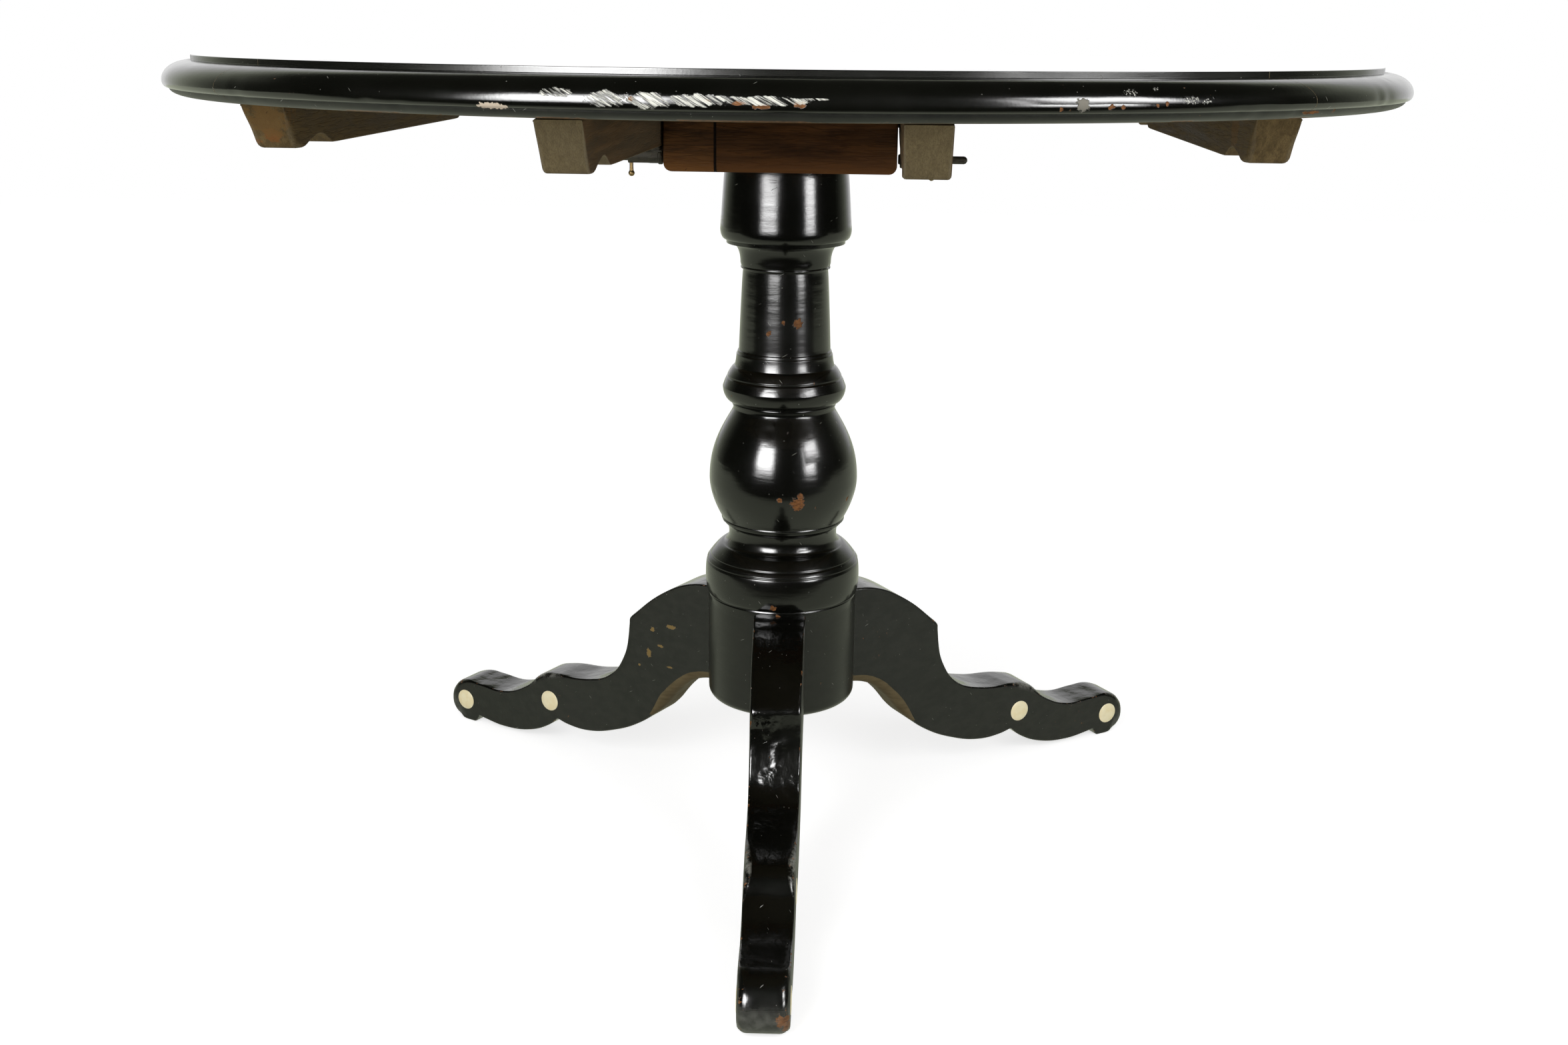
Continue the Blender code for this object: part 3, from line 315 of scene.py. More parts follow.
def ramp(value, low, high):
    """Eases from 0 to 1 while a value goes from low to high."""
    share = np.clip((value - low) / (high - low), 0.0, 1.0)
    return share * share * (3 - 2 * share)


def eased(profile, radius, steps=4, gentle=0.25):
    """Rounds the corners of an open profile: each inner point that turns by more than a gentle angle gives
    way to a parabola between points on its two sides, a radius away or under half of the side."""
    here = profile[1:-1]
    start, end = (
        here + (other - here) * np.minimum(
            radius / np.maximum(np.linalg.norm(other - here, axis=1), 1e-9), 0.45)[:, None]
        for other in (profile[:-2], profile[2:])
    )
    t = np.linspace(0.0, 1.0, steps)[None, :, None]
    bend = (1 - t) ** 2 * start[:, None] + 2 * t * (1 - t) * here[:, None] + t**2 * end[:, None]
    line = np.diff(profile @ (1, 1j))
    sharp = np.abs(np.angle(line[1:] * np.conj(line[:-1]))) > gentle
    bend[~sharp, 0] = here[~sharp]
    keep = sharp[:, None] | (np.arange(steps) == 0)
    return np.vstack([profile[:1], bend[keep], profile[-1:]])


def rows_of_quads(rows, columns):
    """The quads of a grid of rows whose columns close on themselves."""
    row, column = np.meshgrid(np.arange(rows - 1), np.arange(columns), indexing="ij")
    here, beside = row * columns + column, row * columns + (column + 1) % columns
    return np.stack([here, beside, beside + columns, here + columns], axis=-1).reshape(-1, 4).tolist()


def turned(profile, segments):
    """A surface of revolution: each (radius, height) of the profile goes round the Z axis."""
    angle = (np.arange(segments) + 0.5) * 2 * np.pi / segments
    radius, height = profile[:, :1], profile[:, 1:]
    grid = np.stack([radius * np.cos(angle), radius * np.sin(angle), height + 0 * angle], axis=-1)
    return grid.reshape(-1, 3), rows_of_quads(len(profile), segments)


def moved(surface, place):
    """A surface shifted to a place."""
    return surface[0] + place, surface[1]


def along_x(surface, place, side):
    """Lays a turned surface down, its axis pointing outward along X from a place."""
    points, faces = surface
    return np.asarray(place) + np.stack([side * points[:, 2], points[:, 1], points[:, 0]], axis=1), faces


def rod(radius, low, high, segments=40):
    """A straight round rod along Z."""
    return turned(run((0.0, low), (radius, low), (radius, high), (0.0, high)), segments)


def prism(outline, low, high):
    """A closed upright prism over an outline in plan."""
    count = len(outline)
    points = np.vstack([np.column_stack([outline, np.full(count, level)]) for level in (low, high)])
    return points, rows_of_quads(2, count) + [list(range(count)), list(range(count, 2 * count))]


def joined(*surfaces):
    """Several surfaces as one."""
    points, faces, first = [], [], 0
    for more_points, more_faces in surfaces:
        points.append(more_points)
        faces += [[corner + first for corner in face] for face in more_faces]
        first += len(more_points)
    return np.vstack(points), faces


def scrolled(knots, steps):
    """A closed Bezier curve through knots (along, up, smooth). A smooth knot's handles lie along the sum of
    the unit vectors to and from it, and a corner's handles point a third of the way to its neighbours."""
    knots = np.asarray(knots, float)
    place, smooth = knots[:, :2], knots[:, 2:] > 0.5
    ends = np.roll(place, -1, axis=0)
    before, after = place - np.roll(place, 1, axis=0), ends - place
    to_here, to_next = (np.linalg.norm(side, axis=1, keepdims=True) for side in (before, after))
    lean = before / to_here + after / to_next
    size = 2.5614 * np.linalg.norm(lean, axis=1, keepdims=True)
    arrive = np.where(smooth, -lean * np.minimum(to_here, 5 * to_next) / size, -before / 3)
    leave = np.where(smooth, lean * np.minimum(to_next, 5 * to_here) / size, after / 3)
    last = ends + np.roll(arrive, -1, axis=0)
    t = np.linspace(0.0, 1.0, steps, endpoint=False)[None, :, None]
    curve = (1 - t) ** 3 * place[:, None] + 3 * t * (1 - t) ** 2 * (place + leave)[:, None]
    return (curve + 3 * t**2 * (1 - t) * last[:, None] + t**3 * ends[:, None]).reshape(-1, 2)


def banded(outline, half, rounding, across=6, arc=5):
    """An outline given its thickness. A section of it goes from one side face, over a quarter round that
    lies inward by r (1 - sin a) and back by r (1 - cos a), across the band, and over to the other side.
    Inset points that would cross at a corner lie between the good ones beside them. Gives the places in
    the outline's plane and across it, how far each is turned to the side (1 on a side face, 0 on the
    band), and the faces."""
    count = len(outline)
    nxt, last = np.roll(outline, -1, axis=0), np.roll(outline, 1, axis=0)
    heading = (nxt - last) / np.linalg.norm(nxt - last, axis=1, keepdims=True)
    inward = np.stack([-heading[:, 1], heading[:, 0]], axis=1)
    inward *= np.sign((outline[:, 0] * nxt[:, 1] - nxt[:, 0] * outline[:, 1]).sum())
    edge = outline + inward * rounding[:, None]
    gap = np.linalg.norm(edge[:, None] - outline[None], axis=2).min(axis=1)
    onward = ((np.roll(edge, -1, axis=0) - edge) * (nxt - outline)).sum(axis=1) > 0
    good = np.flatnonzero((gap > 0.96 * rounding) & onward & np.roll(onward, 1))
    edge = [np.interp(np.arange(count), good, edge[good, axis], period=count) for axis in (0, 1)]
    angle = np.linspace(0.0, np.pi / 2, arc + 1)[:, None]
    flat = np.linspace(1.0, -1.0, across + 1)[1:-1, None]
    level = np.zeros((across - 1, 1))
    inset = np.vstack([1.0 - np.sin(angle), level, (1.0 - np.sin(angle))[::-1]])
    plane = outline[None] + (np.stack(edge, axis=1) - outline)[None] * inset[:, :, None]
    reach = half(plane[:, :, 0])
    back = rounding * (1.0 - np.cos(angle))
    first, final = reach[: arc + 1] - back, -(reach[-arc - 1:] - back[::-1])
    out = np.vstack([first, flat * (reach[arc + 1: -arc - 1] - rounding), final])
    aside = np.vstack([np.cos(angle), level, np.cos(angle)[::-1]]) + np.zeros(count)
    rows = len(out)
    sides = [list(range(count)), list(range((rows - 1) * count, rows * count))]
    return plane, out, aside, rows_of_quads(rows, count) + sides


def evenly(half):
    """Half a thickness that is the same all along."""
    return lambda along: 0 * along + half


def softened(outline, rounds):
    """Softens a closed outline's corners: each point goes half way to the middle of its neighbours."""
    for _ in range(rounds):
        outline = (np.roll(outline, 1, axis=0) + 2 * outline + np.roll(outline, -1, axis=0)) / 4
    return outline


def knocked(points, count, seed, reach, depth, where):
    """Knocks in a turned surface: the radius loses depth times exp(-(distance / reach) squared) about
    seeded points of it, each of its own reach and depth."""
    chance = np.random.default_rng(seed)
    middles = points[chance.choice(np.flatnonzero(where), count)]
    reaches = reach * chance.uniform(0.5, 1.5, count)
    depths = depth * chance.uniform(0.3, 1.0, count)
    loss = np.zeros(len(points))
    for middle, near, deep in zip(middles, reaches, depths):
        gap = np.linalg.norm(points - middle, axis=1)
        loss = np.maximum(loss, deep * np.exp(-((gap / near) ** 2)))
    radius = np.linalg.norm(points[:, :2], axis=1)
    keep = np.where(radius > 1e-6, (radius - loss) / np.maximum(radius, 1e-6), 1.0)
    return points * np.stack([keep, keep, np.ones_like(keep)], axis=1)


def carry(mesh, traits):
    """Lays values for the materials on a mesh's points."""
    for trait, values in traits.items():
        layer = mesh.attributes.new(trait, "FLOAT", "POINT")
        layer.data.foreach_set("value", np.asarray(values, np.float32).ravel())


def solid_mesh(name, surface, finishes=(), traits=None):
    """A closed mesh of a surface, its doubles merged and its faces pointing out."""
    mesh = bpy.data.meshes.new(name)
    mesh.from_pydata(np.asarray(surface[0]).tolist(), [], surface[1])
    carry(mesh, traits or {})
    for item in finishes:
        mesh.materials.append(item)
    bm = bmesh.new()
    bm.from_mesh(mesh)
    bmesh.ops.remove_doubles(bm, verts=bm.verts, dist=1e-6)
    bmesh.ops.recalc_face_normals(bm, faces=bm.faces)
    bm.to_mesh(mesh)
    bm.free()
    return mesh


def sawn(whole, name, finishes, *cuts):
    """A closed part of a mesh: each cut (place, normal) takes off what lies outside its plane."""
    bm = bmesh.new()
    bm.from_mesh(whole)
    for place, normal in cuts:
        geometry = bm.verts[:] + bm.edges[:] + bm.faces[:]
        plane = {"plane_co": place, "plane_no": normal}
        cut = bmesh.ops.bisect_plane(bm, geom=geometry, dist=1e-7, clear_outer=True, **plane)
        edges = [item for item in cut["geom_cut"] if isinstance(item, bmesh.types.BMEdge)]
        bmesh.ops.edgeloop_fill(bm, edges=edges)
    bmesh.ops.recalc_face_normals(bm, faces=bm.faces)
    mesh = bpy.data.meshes.new(name)
    bm.to_mesh(mesh)
    bm.free()
    for item in finishes:
        mesh.materials.append(item)
    return mesh


def per_face(mesh, key):
    """A vector of every face, such as its centre or its normal."""
    values = np.empty(len(mesh.polygons) * 3)
    mesh.polygons.foreach_get(key, values)
    return values.reshape(-1, 3)


def shaded(mesh, angle=38.0):
    """Shades a mesh smooth, with its corners sharp and its many-sided flat faces flat."""
    mesh.shade_smooth()
    mesh.set_sharp_from_angle(angle=math.radians(angle))
    sides = np.empty(len(mesh.polygons), np.int32)
    mesh.polygons.foreach_get("loop_total", sides)
    mesh.polygons.foreach_set("use_smooth", sides < 12)
    return mesh


def linked(name, data):
    """A new object in the scene."""
    item = bpy.data.objects.new(name, data)
    bpy.context.scene.collection.objects.link(item)
    return item


def shown(mesh, body, node):
    """Shows a mesh as a piece that rides on a body and stands for a CAD node."""
    piece = linked(mesh.name, mesh)
    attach(piece, body)
    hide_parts(node)
    return piece


def made(name, surface, body, item, traits=None):
    """A surface shown as a piece of one finish, in its CAD node's place."""
    return shown(shaded(solid_mesh(name, surface, (item,), traits)), body, name)


def bored(piece, *cutters):
    """Cuts closed surfaces out of a piece and keeps the result as its mesh."""
    tool = linked("cutter", solid_mesh("cutter", joined(*cutters)))
    modifier = piece.modifiers.new("bores", "BOOLEAN")
    modifier.object = tool
    modifier.operation = "DIFFERENCE"
    modifier.solver = "EXACT"
    depsgraph = bpy.context.evaluated_depsgraph_get()
    mesh = bpy.data.meshes.new_from_object(piece.evaluated_get(depsgraph))
    piece.modifiers.clear()
    old = piece.data
    mesh.name = old.name
    piece.data = mesh
    bpy.data.meshes.remove(old)
    bpy.data.objects.remove(tool, do_unlink=True)
    if len(mesh.polygons) == 0:
        raise RuntimeError(f"{piece.name} came out empty")
    shaded(mesh)


def times(shade, factor):
    """A colour times a factor, or each channel times its own, up to 1."""
    return tuple(min(1.0, c * k) for c, k in zip(shade, np.broadcast_to(factor, 3)))


def toward(light, dark, factor):
    """A colour that is a share of a light one and the rest of a dark one."""
    return tuple(factor * a + (1 - factor) * b for a, b in zip(light, dark))


class Field:
    """An output of a shader node. Sums with it add nodes."""

    def __init__(self, graph, socket):
        self.graph, self.socket = graph, socket

    def __add__(self, other):
        return self.graph.math("ADD", self, other)

    def __sub__(self, other):
        return self.graph.math("SUBTRACT", self, other)

    def __rsub__(self, other):
        return self.graph.math("SUBTRACT", other, self)

    def __mul__(self, other):
        return self.graph.math("MULTIPLY", self, other)

    def __abs__(self):
        return self.graph.math("ABSOLUTE", self)

    def of(self, name):
        """Another output of the same node."""
        return Field(self.graph, self.socket.node.outputs[name])


def most(first, *others):
    """The strongest of several masks."""
    for other in others:
        first = first.graph.math("MAXIMUM", first, other)
    return first


class Graph:
    """Adds nodes to a shader tree."""

    def __init__(self, tree):
        self.tree = tree

    def add(self, kind, sockets=None, output=0, **settings):
        """An output of a new node, with its settings made and its sockets filled."""
        node = self.tree.nodes.new(kind)
        for key, value in settings.items():
            setattr(node, key, value)
        for key, value in (sockets or {}).items():
            self.put(node.inputs[key], value)
        return Field(self, node.outputs[output])

    def put(self, socket, value):
        """Fills a socket with a field or with a value."""
        if isinstance(value, Field):
            self.tree.links.new(value.socket, socket)
        else:
            socket.default_value = value

    def math(self, operation, first, second=0.0):
        """A sum of two numbers."""
        return self.add("ShaderNodeMath", {0: first, 1: second}, operation=operation)

    def step(self, value, low, high, start=0.0, end=1.0, way="SMOOTHSTEP"):
        """Goes from start to end while a value goes from low to high."""
        sockets = {"Value": value, "From Min": low, "From Max": high, "To Min": start, "To Max": end}
        return self.add("ShaderNodeMapRange", sockets, interpolation_type=way)

    def blend(self, factor, *shades):
        """A colour between two others."""
        first, second = ((*shade, 1.0) if isinstance(shade, tuple) else shade for shade in shades)
        return self.add("ShaderNodeMix", {0: factor, 6: first, 7: second}, 2, data_type="RGBA")


class Coat(Graph):
    """Adds nodes to a new material, from the place on the piece to the shader."""

    def __init__(self, name, roughness=0.5, metallic=0.0):
        self.material = bpy.data.materials.new(name)
        self.material.use_nodes = True
        super().__init__(self.material.node_tree)
        self.shader = self.tree.nodes["Principled BSDF"]
        self.into(Roughness=roughness, Metallic=metallic)
        self.place = self.add("ShaderNodeTexCoord", output="Object")
        self.base = None

    def into(self, **values):
        """Fills the shader's sockets, with _ in a name for a space."""
        for key, value in values.items():
            self.put(self.shader.inputs[key.replace("_", " ")], value)

    def paint(self, mask, shade):
        """Lays a colour over the base colour where a mask is."""
        self.base = self.blend(mask, self.base, shade)

    def done(self, roughness, normal):
        """The material, its colour, roughness and normal linked."""
        self.into(Base_Color=self.base, Roughness=roughness, Normal=normal)
        return self.material

    def shows(self, shader):
        """Links another shader to the material's surface."""
        self.put(self.tree.nodes["Material Output"].inputs[0], shader)
        return self.material

    def moved(self, scale=(1, 1, 1), shift=(0, 0, 0), turn=(0, 0, 0), place=None):
        """The place, scaled, shifted or turned."""
        sockets = {"Vector": place or self.place, "Scale": scale, "Location": shift, "Rotation": turn}
        return self.add("ShaderNodeMapping", sockets)

    def noise(self, scale, detail=3.0, stretch=None, shift=(0, 0, 0), rough=0.5, warp=0.0, place=None):
        """Cloudy noise, mostly from 0.3 to 0.7."""
        place = place or self.place
        if stretch or any(shift):
            place = self.moved(stretch or (1, 1, 1), shift, place=place)
        sockets = {"Vector": place, "Scale": scale, "Detail": detail, "Roughness": rough}
        return self.add("ShaderNodeTexNoise", {**sockets, "Distortion": warp})

    def trait(self, name):
        """A value that the mesh carries."""
        return self.add("ShaderNodeAttribute", output="Fac", attribute_name=name)

    def axis(self, name, place=None):
        """One coordinate of the place."""
        return self.add("ShaderNodeSeparateXYZ", {0: place or self.place}, name)

    def specks(self, scale, size, share, place=None):
        """Scattered dots: the cells of a Voronoi pattern whose own chance is over a share."""
        cells = self.add("ShaderNodeTexVoronoi", {"Vector": place or self.place, "Scale": scale})
        chance = self.add("ShaderNodeSeparateColor", {0: cells.of("Color")})
        dot = self.step(cells.of("Distance"), size * 0.5, size, 1.0, 0.0)
        return dot * self.step(chance, share, share + 0.02)

    def strokes(self, turn, stretch, size, share):
        """Short straight strokes: dots of a place that is turned and then stretched."""
        return self.specks(1.0, size, share, self.moved(stretch, place=self.moved(turn=turn)))

    def spots(self, places, ragged=0.45, scale=320.0):
        """Ragged spots about places (x, y, z, radius or three radii), broken by noise: the nearest one
        counts, as a share of its radius."""
        stir = (self.noise(scale, 4.0, rough=0.65) - 0.5) * (ragged * 5)
        nearest = None
        for *place, radius in places:
            reach = np.broadcast_to(radius, 3).astype(float)
            near = self.moved(tuple(1 / reach), tuple(-np.array(place) / reach))
            gap = self.add("ShaderNodeVectorMath", {0: near}, "Value", operation="LENGTH")
            nearest = self.math("MINIMUM", nearest, gap) if nearest else gap
        return self.step(nearest + stir, 0.8, 1.0, 1.0, 0.0)

    def arris(self):
        """The rounded edges of a banded piece."""
        aside = self.trait("aside")
        return aside * (1.0 - aside) * 4.0

    def bump(self, height, distance, strength=1.0, under=None):
        """A bump normal of a height, over another."""
        sockets = {"Height": height, "Distance": distance, "Strength": strength}
        return self.add("ShaderNodeBump", {**sockets, "Normal": under} if under else sockets)


def lacquer(name, colours, gloss, ripple=None, lumps=0.0, chips=(), scuff=None, wear=None, satin=None,
            bare=None, dents=None, marks=()):
    """Old black lacquer: gloss, clouded roughness, specks, short scratches, and chips down to the wood. A
    ripple is how close its waves lie, and where there is none, it was rubbed flat, hazed and scratched. A
    wear mask chips its edges, scuff greys it with scuffs (on the legs also with a painted highlight on the
    hump's rounded corners), satin dulls it, bare leaves the wood without it, dents is a height of its own,
    and marks are flakes of a colour of their own."""
    coat = Coat(name)
    keys = ("lacquer", "chip", "dust_and_sheen", "satin", "wood", "wood_dark")
    black, chip, dust_and_sheen, dull, wood, dark = (tuple(getattr(colours, key)) for key in keys)
    cloud = coat.noise(7.0, 5.0, rough=0.6)
    coat.base = black
    coat.paint(coat.step(cloud, 0.4, 0.75), times(black, 2.0))
    roughness = coat.step(cloud, 0.35, 0.7, *gloss)
    matt = satin and satin(coat)
    if matt:
        grain = coat.step(coat.noise(1.0, 4.0, (60, 60, 120), rough=0.6), 0.35, 0.65)
        coat.paint(matt, coat.blend(grain, times(dull, 0.8), times(dull, 1.25)))
        roughness = roughness + matt * 0.30
    dots = most(coat.specks(230.0, 0.10, 0.86), coat.specks(90.0, 0.05, 0.80))
    scratches = most(
        coat.strokes((0.0, 0.5, 0.0), (30, 60, 460), 0.12, 0.94),
        coat.strokes((0.3, -0.9, 0.2), (42, 60, 560), 0.12, 0.95),
    )
    if not ripple:
        haze = coat.step(coat.noise(4.0, 6.0, (1, 2.2, 1), rough=0.68), 0.42, 0.72, 0.0, 0.9)
        coat.paint(haze, times(black, 6.0))
        hairs = most(
            coat.strokes((0.0, 0.0, 0.35), (7, 260, 60), 0.16, 0.80),
            coat.strokes((0.0, 0.0, -0.8), (10, 300, 60), 0.16, 0.86),
            coat.strokes((0.0, 0.0, 1.5), (16, 340, 60), 0.16, 0.88),
        )
        coat.paint(hairs * 0.07, dust_and_sheen)
        rubs = coat.noise(1.0, 4.0, (3, 26, 1), rough=0.6)
        roughness = roughness * 0.16 + coat.step(rubs, 0.45, 0.8, 0.0, 0.03)
    coat.paint(most(dots, scratches) * 0.5, dust_and_sheen)
    patchy = coat.noise(11.0, 3.0, shift=(5, 2, 7))
    bits = coat.noise(190.0, 5.0, shift=(1, 8, 3), rough=0.65)
    chipped = coat.step(bits, 0.665, 0.68) * coat.step(patchy, 0.60, 0.66)
    if chips:
        chipped = most(chipped, coat.spots(chips))
    if wear:
        chipped = most(chipped, wear(coat, bits))
    grain = coat.step(coat.noise(240.0, 4.0, (1, 1, 4), rough=0.6), 0.35, 0.65)
    coat.paint(chipped, coat.blend(grain, times(chip, 0.4), chip))
    for places, shade in marks:
        flake = coat.spots(places, 0.42, 420.0)
        coat.paint(flake, shade)
        chipped = most(chipped, flake)
    relief = 1.0 - (most(chipped, scratches * 0.4) if ripple else chipped)
    if scuff:
        # Scuffs are painted light grey; on the legs this also paints a highlight on the hump's rounded
        # corners.
        scuffs_and_painted_sheen = scuff(coat)
        coat.paint(scuffs_and_painted_sheen * 0.8, times(dust_and_sheen, 2.4))
        roughness = roughness + scuffs_and_painted_sheen * 0.35
        relief = relief + scuffs_and_painted_sheen
    open_wood = chipped
    if bare:
        strip = bare(coat)
        coat.paint(strip, coat.blend(coat.noise(1.0, 4.0, (70, 70, 240)), dark, wood))
        open_wood = most(chipped, strip)
    dry = open_wood * 0.4
    if matt:
        dry = most(dry, matt * 0.22)
    coat.into(Specular_IOR_Level=0.5 - dry)
    roughness = most(roughness, open_wood * 0.62)
    normal = None
    if ripple:
        waves = coat.noise(1.0, 3.0, ripple, rough=0.45)
        if dents:
            waves = waves + dents(coat) * 2.2
        normal = coat.bump(waves, 0.0016, lumps)
        normal = coat.bump(coat.noise(420.0, 2.0), 0.0003, 0.10, normal)
    return coat.done(roughness, coat.bump(relief, 0.0005, 0.5, normal))


def aged_wood(name, light, dark, grain, saw=None, marks=(), joint=None, arris=False, grey=0.45, low=None,
              sides=None):
    """Bare old wood: long grain, pores, grey blotches and cracks. A saw leaves marks across it, marks are
    spots of a colour of their own, a joint is a dark glue line at a place on X, an arris is a pale rubbed
    edge, low is a height under which the wood is painted lighter as painted light, and sides is the colour
    of faces across X, partly the side grain's own tone and partly painted shade."""
    coat = Coat(name)
    coat.into(Specular_IOR_Level=0.06)
    figure = coat.noise(1.0, 6.0, grain, rough=0.62, warp=0.6)
    pores = coat.noise(1.0, 2.0, tuple(2.6 * axis for axis in grain), (4, 4, 4), warp=0.3)
    pores = coat.step(abs(pores - 0.5), 0.015, 0.05, 1.0, 0.0)
    blotch = coat.noise(14.0, 4.0, rough=0.6)
    coat.base = dark
    coat.paint(coat.step(figure, 0.3, 0.7), light)
    coat.paint(pores * 0.35, times(dark, 0.6))
    pale = times((1.12, 1.0, 0.72), sum(light) / 3)
    coat.paint(coat.step(blotch, 0.45, 0.75, 0.0, grey), pale)
    if sides:
        # Faces across X take the sides colour: partly the side grain's own redder tone, partly painted
        # shade.
        facing = abs(coat.axis("X", coat.add("ShaderNodeTexCoord", output="Normal")))
        red_and_painted_shade = coat.blend(coat.step(figure, 0.3, 0.7), times(sides, 0.35), sides)
        coat.paint(coat.step(facing, 0.6, 0.9, 0.0, 0.75), red_and_painted_shade)
    if low is not None:
        # Painted light: under the height low the wood is painted lighter, as light falls on its lower part.
        coat.paint(coat.step(coat.axis("Z"), low - 0.02, low, 0.6, 0.0), times(light, 1.55))
    height = figure + pores * -0.5
    if saw:
        teeth = coat.noise(1.0, 3.0, saw, (2, 6, 1))
        coat.paint(coat.step(teeth, 0.52, 0.75, 0.0, 0.5), times(dark, 0.5))
        height = height + teeth * 0.8
    for places, shade in marks:
        coat.paint(coat.spots(places, 0.35, 140.0) * 0.75, shade)
    cracks = coat.strokes((0.2, 0.7, 0.4), (60, 40, 500), 0.13, 0.93)
    coat.paint(cracks * 0.8, times(dark, 0.25))
    if joint is not None:
        glue = abs(coat.axis("X") - joint)
        coat.paint(coat.step(glue, 0.00096, 0.0016, 1.0, 0.0), (0.008, 0.005, 0.003))
    if arris:
        coat.paint(coat.arris() * 0.15, times(pale, 2.2))
    return coat.done(coat.step(figure, 0.3, 0.7, 0.62, 0.82), coat.bump(height, 0.0009, 0.5))


def old_metal(name, shade, roughness, metallic):
    """Forged or cast metal: mottled and pitted."""
    coat = Coat(name, metallic=metallic)
    mottle = coat.noise(180.0, 5.0, rough=0.65)
    pits = coat.specks(900.0, 0.28, 0.55)
    coat.base = times(shade, 0.6)
    coat.paint(coat.step(mottle, 0.35, 0.65), times(shade, 1.4))
    coat.paint(pits * 0.5, times(shade, 0.35))
    rough = coat.step(mottle, 0.3, 0.7, roughness - 0.12, roughness + 0.15)
    return coat.done(rough, coat.bump(mottle - pits * 0.6, 0.0003, 0.5))


def bone_finish(name, cream):
    """Polished bone: faint growth lines, yellowed clouds and fine pores."""
    coat = Coat(name)
    cloud = coat.noise(130.0, 3.0)
    streaks = coat.noise(1.0, 3.0, (220, 220, 900), warp=0.5)
    coat.base = cream
    coat.paint(coat.step(cloud, 0.35, 0.7), times(cream, (0.95, 0.91, 0.80)))
    coat.paint(coat.step(streaks, 0.55, 0.8, 0.0, 0.3), times(cream, 0.75))
    coat.paint(coat.specks(1400.0, 0.2, 0.85) * 0.5, (0.30, 0.20, 0.09))
    return coat.done(coat.step(cloud, 0.3, 0.7, 0.30, 0.45), coat.bump(streaks, 0.0001, 0.3))


def finish(key, scene):
    """A finish by its name, made when it is first asked for."""
    if key in bpy.data.materials:
        return bpy.data.materials[key]
    shade = {name: tuple(getattr(scene.table_colours, name)) for name in TableColours.__annotations__}
    wood, dark = shade["wood"], shade["wood_dark"]
    if key == "bare_bearer_wood":
        # Darker, redder colour of the bearers' long sides: partly the side grain's tone, partly painted
        # shade.
        sides = (0.118, 0.066, 0.030)
        light, dark = toward(wood, dark, 0.80), toward(wood, dark, 0.46)
        return aged_wood(key, light, dark, (260, 9, 150), arris=True, grey=0.2, sides=sides)
    if key == "bare_batten_wood":
        outer = scene.table_top.radius * scene.table_battens.outer_share
        light, dark = (times(toward(wood, dark, part), (0.89, 0.80, 0.66)) for part in (0.95, 0.28))
        worn = [(-outer, -0.295, 0.694, 0.008), (-outer - 0.012, -0.29, 0.69, 0.006)]
        stained = [(outer - 0.0165, -0.24, 0.705, 0.016), (-outer, -0.30, 0.71, 0.02)]
        marks = ((worn, shade["chip"]), (stained, times(light, (1.0, 0.8, 0.6))))
        return aged_wood(key, light, dark, (220, 9, 140), marks=marks, arris=True, grey=0.35)
    if key == "bare_board_wood":
        return aged_wood(key, wood, dark, (6, 75, 75), (240, 8, 8))
    if key == "wedge_wood":
        return aged_wood(key, wood, dark, (120, 20, 10))
    blocks = {"reddish_block_wood": ("block", 9), "orange_strip_wood": ("strip", 11)}
    if key in blocks:
        light, along = blocks[key]
        joint = -scene.table_block.size / 2 + scene.table_block.strip
        grain = (along, 90, 110)
        # Painted light: the block and strip are painted lighter below 0.675 m, as light falls under the top.
        return aged_wood(key, shade[light], shade["block_dark"], grain, joint=joint, grey=0.1, low=0.675)
    if key == "wrought_iron":
        return old_metal(key, shade["iron"], 0.55, 0.4)
    if key == "dull_brass":
        return old_metal(key, shade["brass"], 0.42, 0.9)
    if key == "polished_bone":
        return bone_finish(key, shade["bone"])
    raise RuntimeError(f"there is no finish named {key}")


def underside(scene):
    """The height of the boards' underside."""
    return scene.table_top.height - scene.table_top.thickness


def block_top(scene):
    """The height of the block's top."""
    return underside(scene) - SEAT_GAP


def pivot(scene):
    """The place of the axis that the top tilts about."""
    sizes = scene.table_block
    return 0.0, sizes.size / 2 - sizes.pivot_rounding, block_top(scene) - sizes.pivot_rounding


def bolt_place(scene):
    """The place (Y, Z) of the lock bolts."""
    sizes = scene.table_bolts
    return -scene.table_block.size / 2 + sizes.setback, underside(scene) - sizes.drop


def bearer_place(scene):
    """The distance of a bearer's middle from the table's middle."""
    sizes = scene.table_block
    return sizes.size / 2 + sizes.play + scene.table_battens.width / 2


def bearer_ends(scene):
    """A bearer's depth at its ends and in its middle."""
    return scene.table_battens.bearer_end, scene.table_battens.bearer_middle


def batten_half(scene, place):
    """Half the length of a batten, inside the underside's round edge."""
    top, sizes = scene.table_top, scene.table_battens
    outer = place + sizes.width / 2
    return math.sqrt((top.radius - top.band_inset) ** 2 - outer**2) - sizes.inset


def batten_depth(scene, half, ends, along):
    """A batten's depth on its straight lower edge."""
    sizes = scene.table_battens
    cusp = half - sizes.undercut - sizes.foot - sizes.notch
    return ends[1] + (ends[0] - ends[1]) * min(1.0, abs(along) / cusp)


def flakes(deep, *rows):
    """Flakes (x, y, z, width, height) as spots that reach deep along Y. One without a height is round."""
    return [(x, y, z, (wide, deep, *tall) if tall else wide) for x, y, z, wide, *tall in rows]


def set_out(heading, along, across, up):
    """Places given along a heading, across it and up, as points."""
    cos, sin = math.cos(heading), math.sin(heading)
    points = np.stack([along * cos - across * sin, along * sin + across * cos, up], axis=-1)
    return points.reshape(-1, 3)


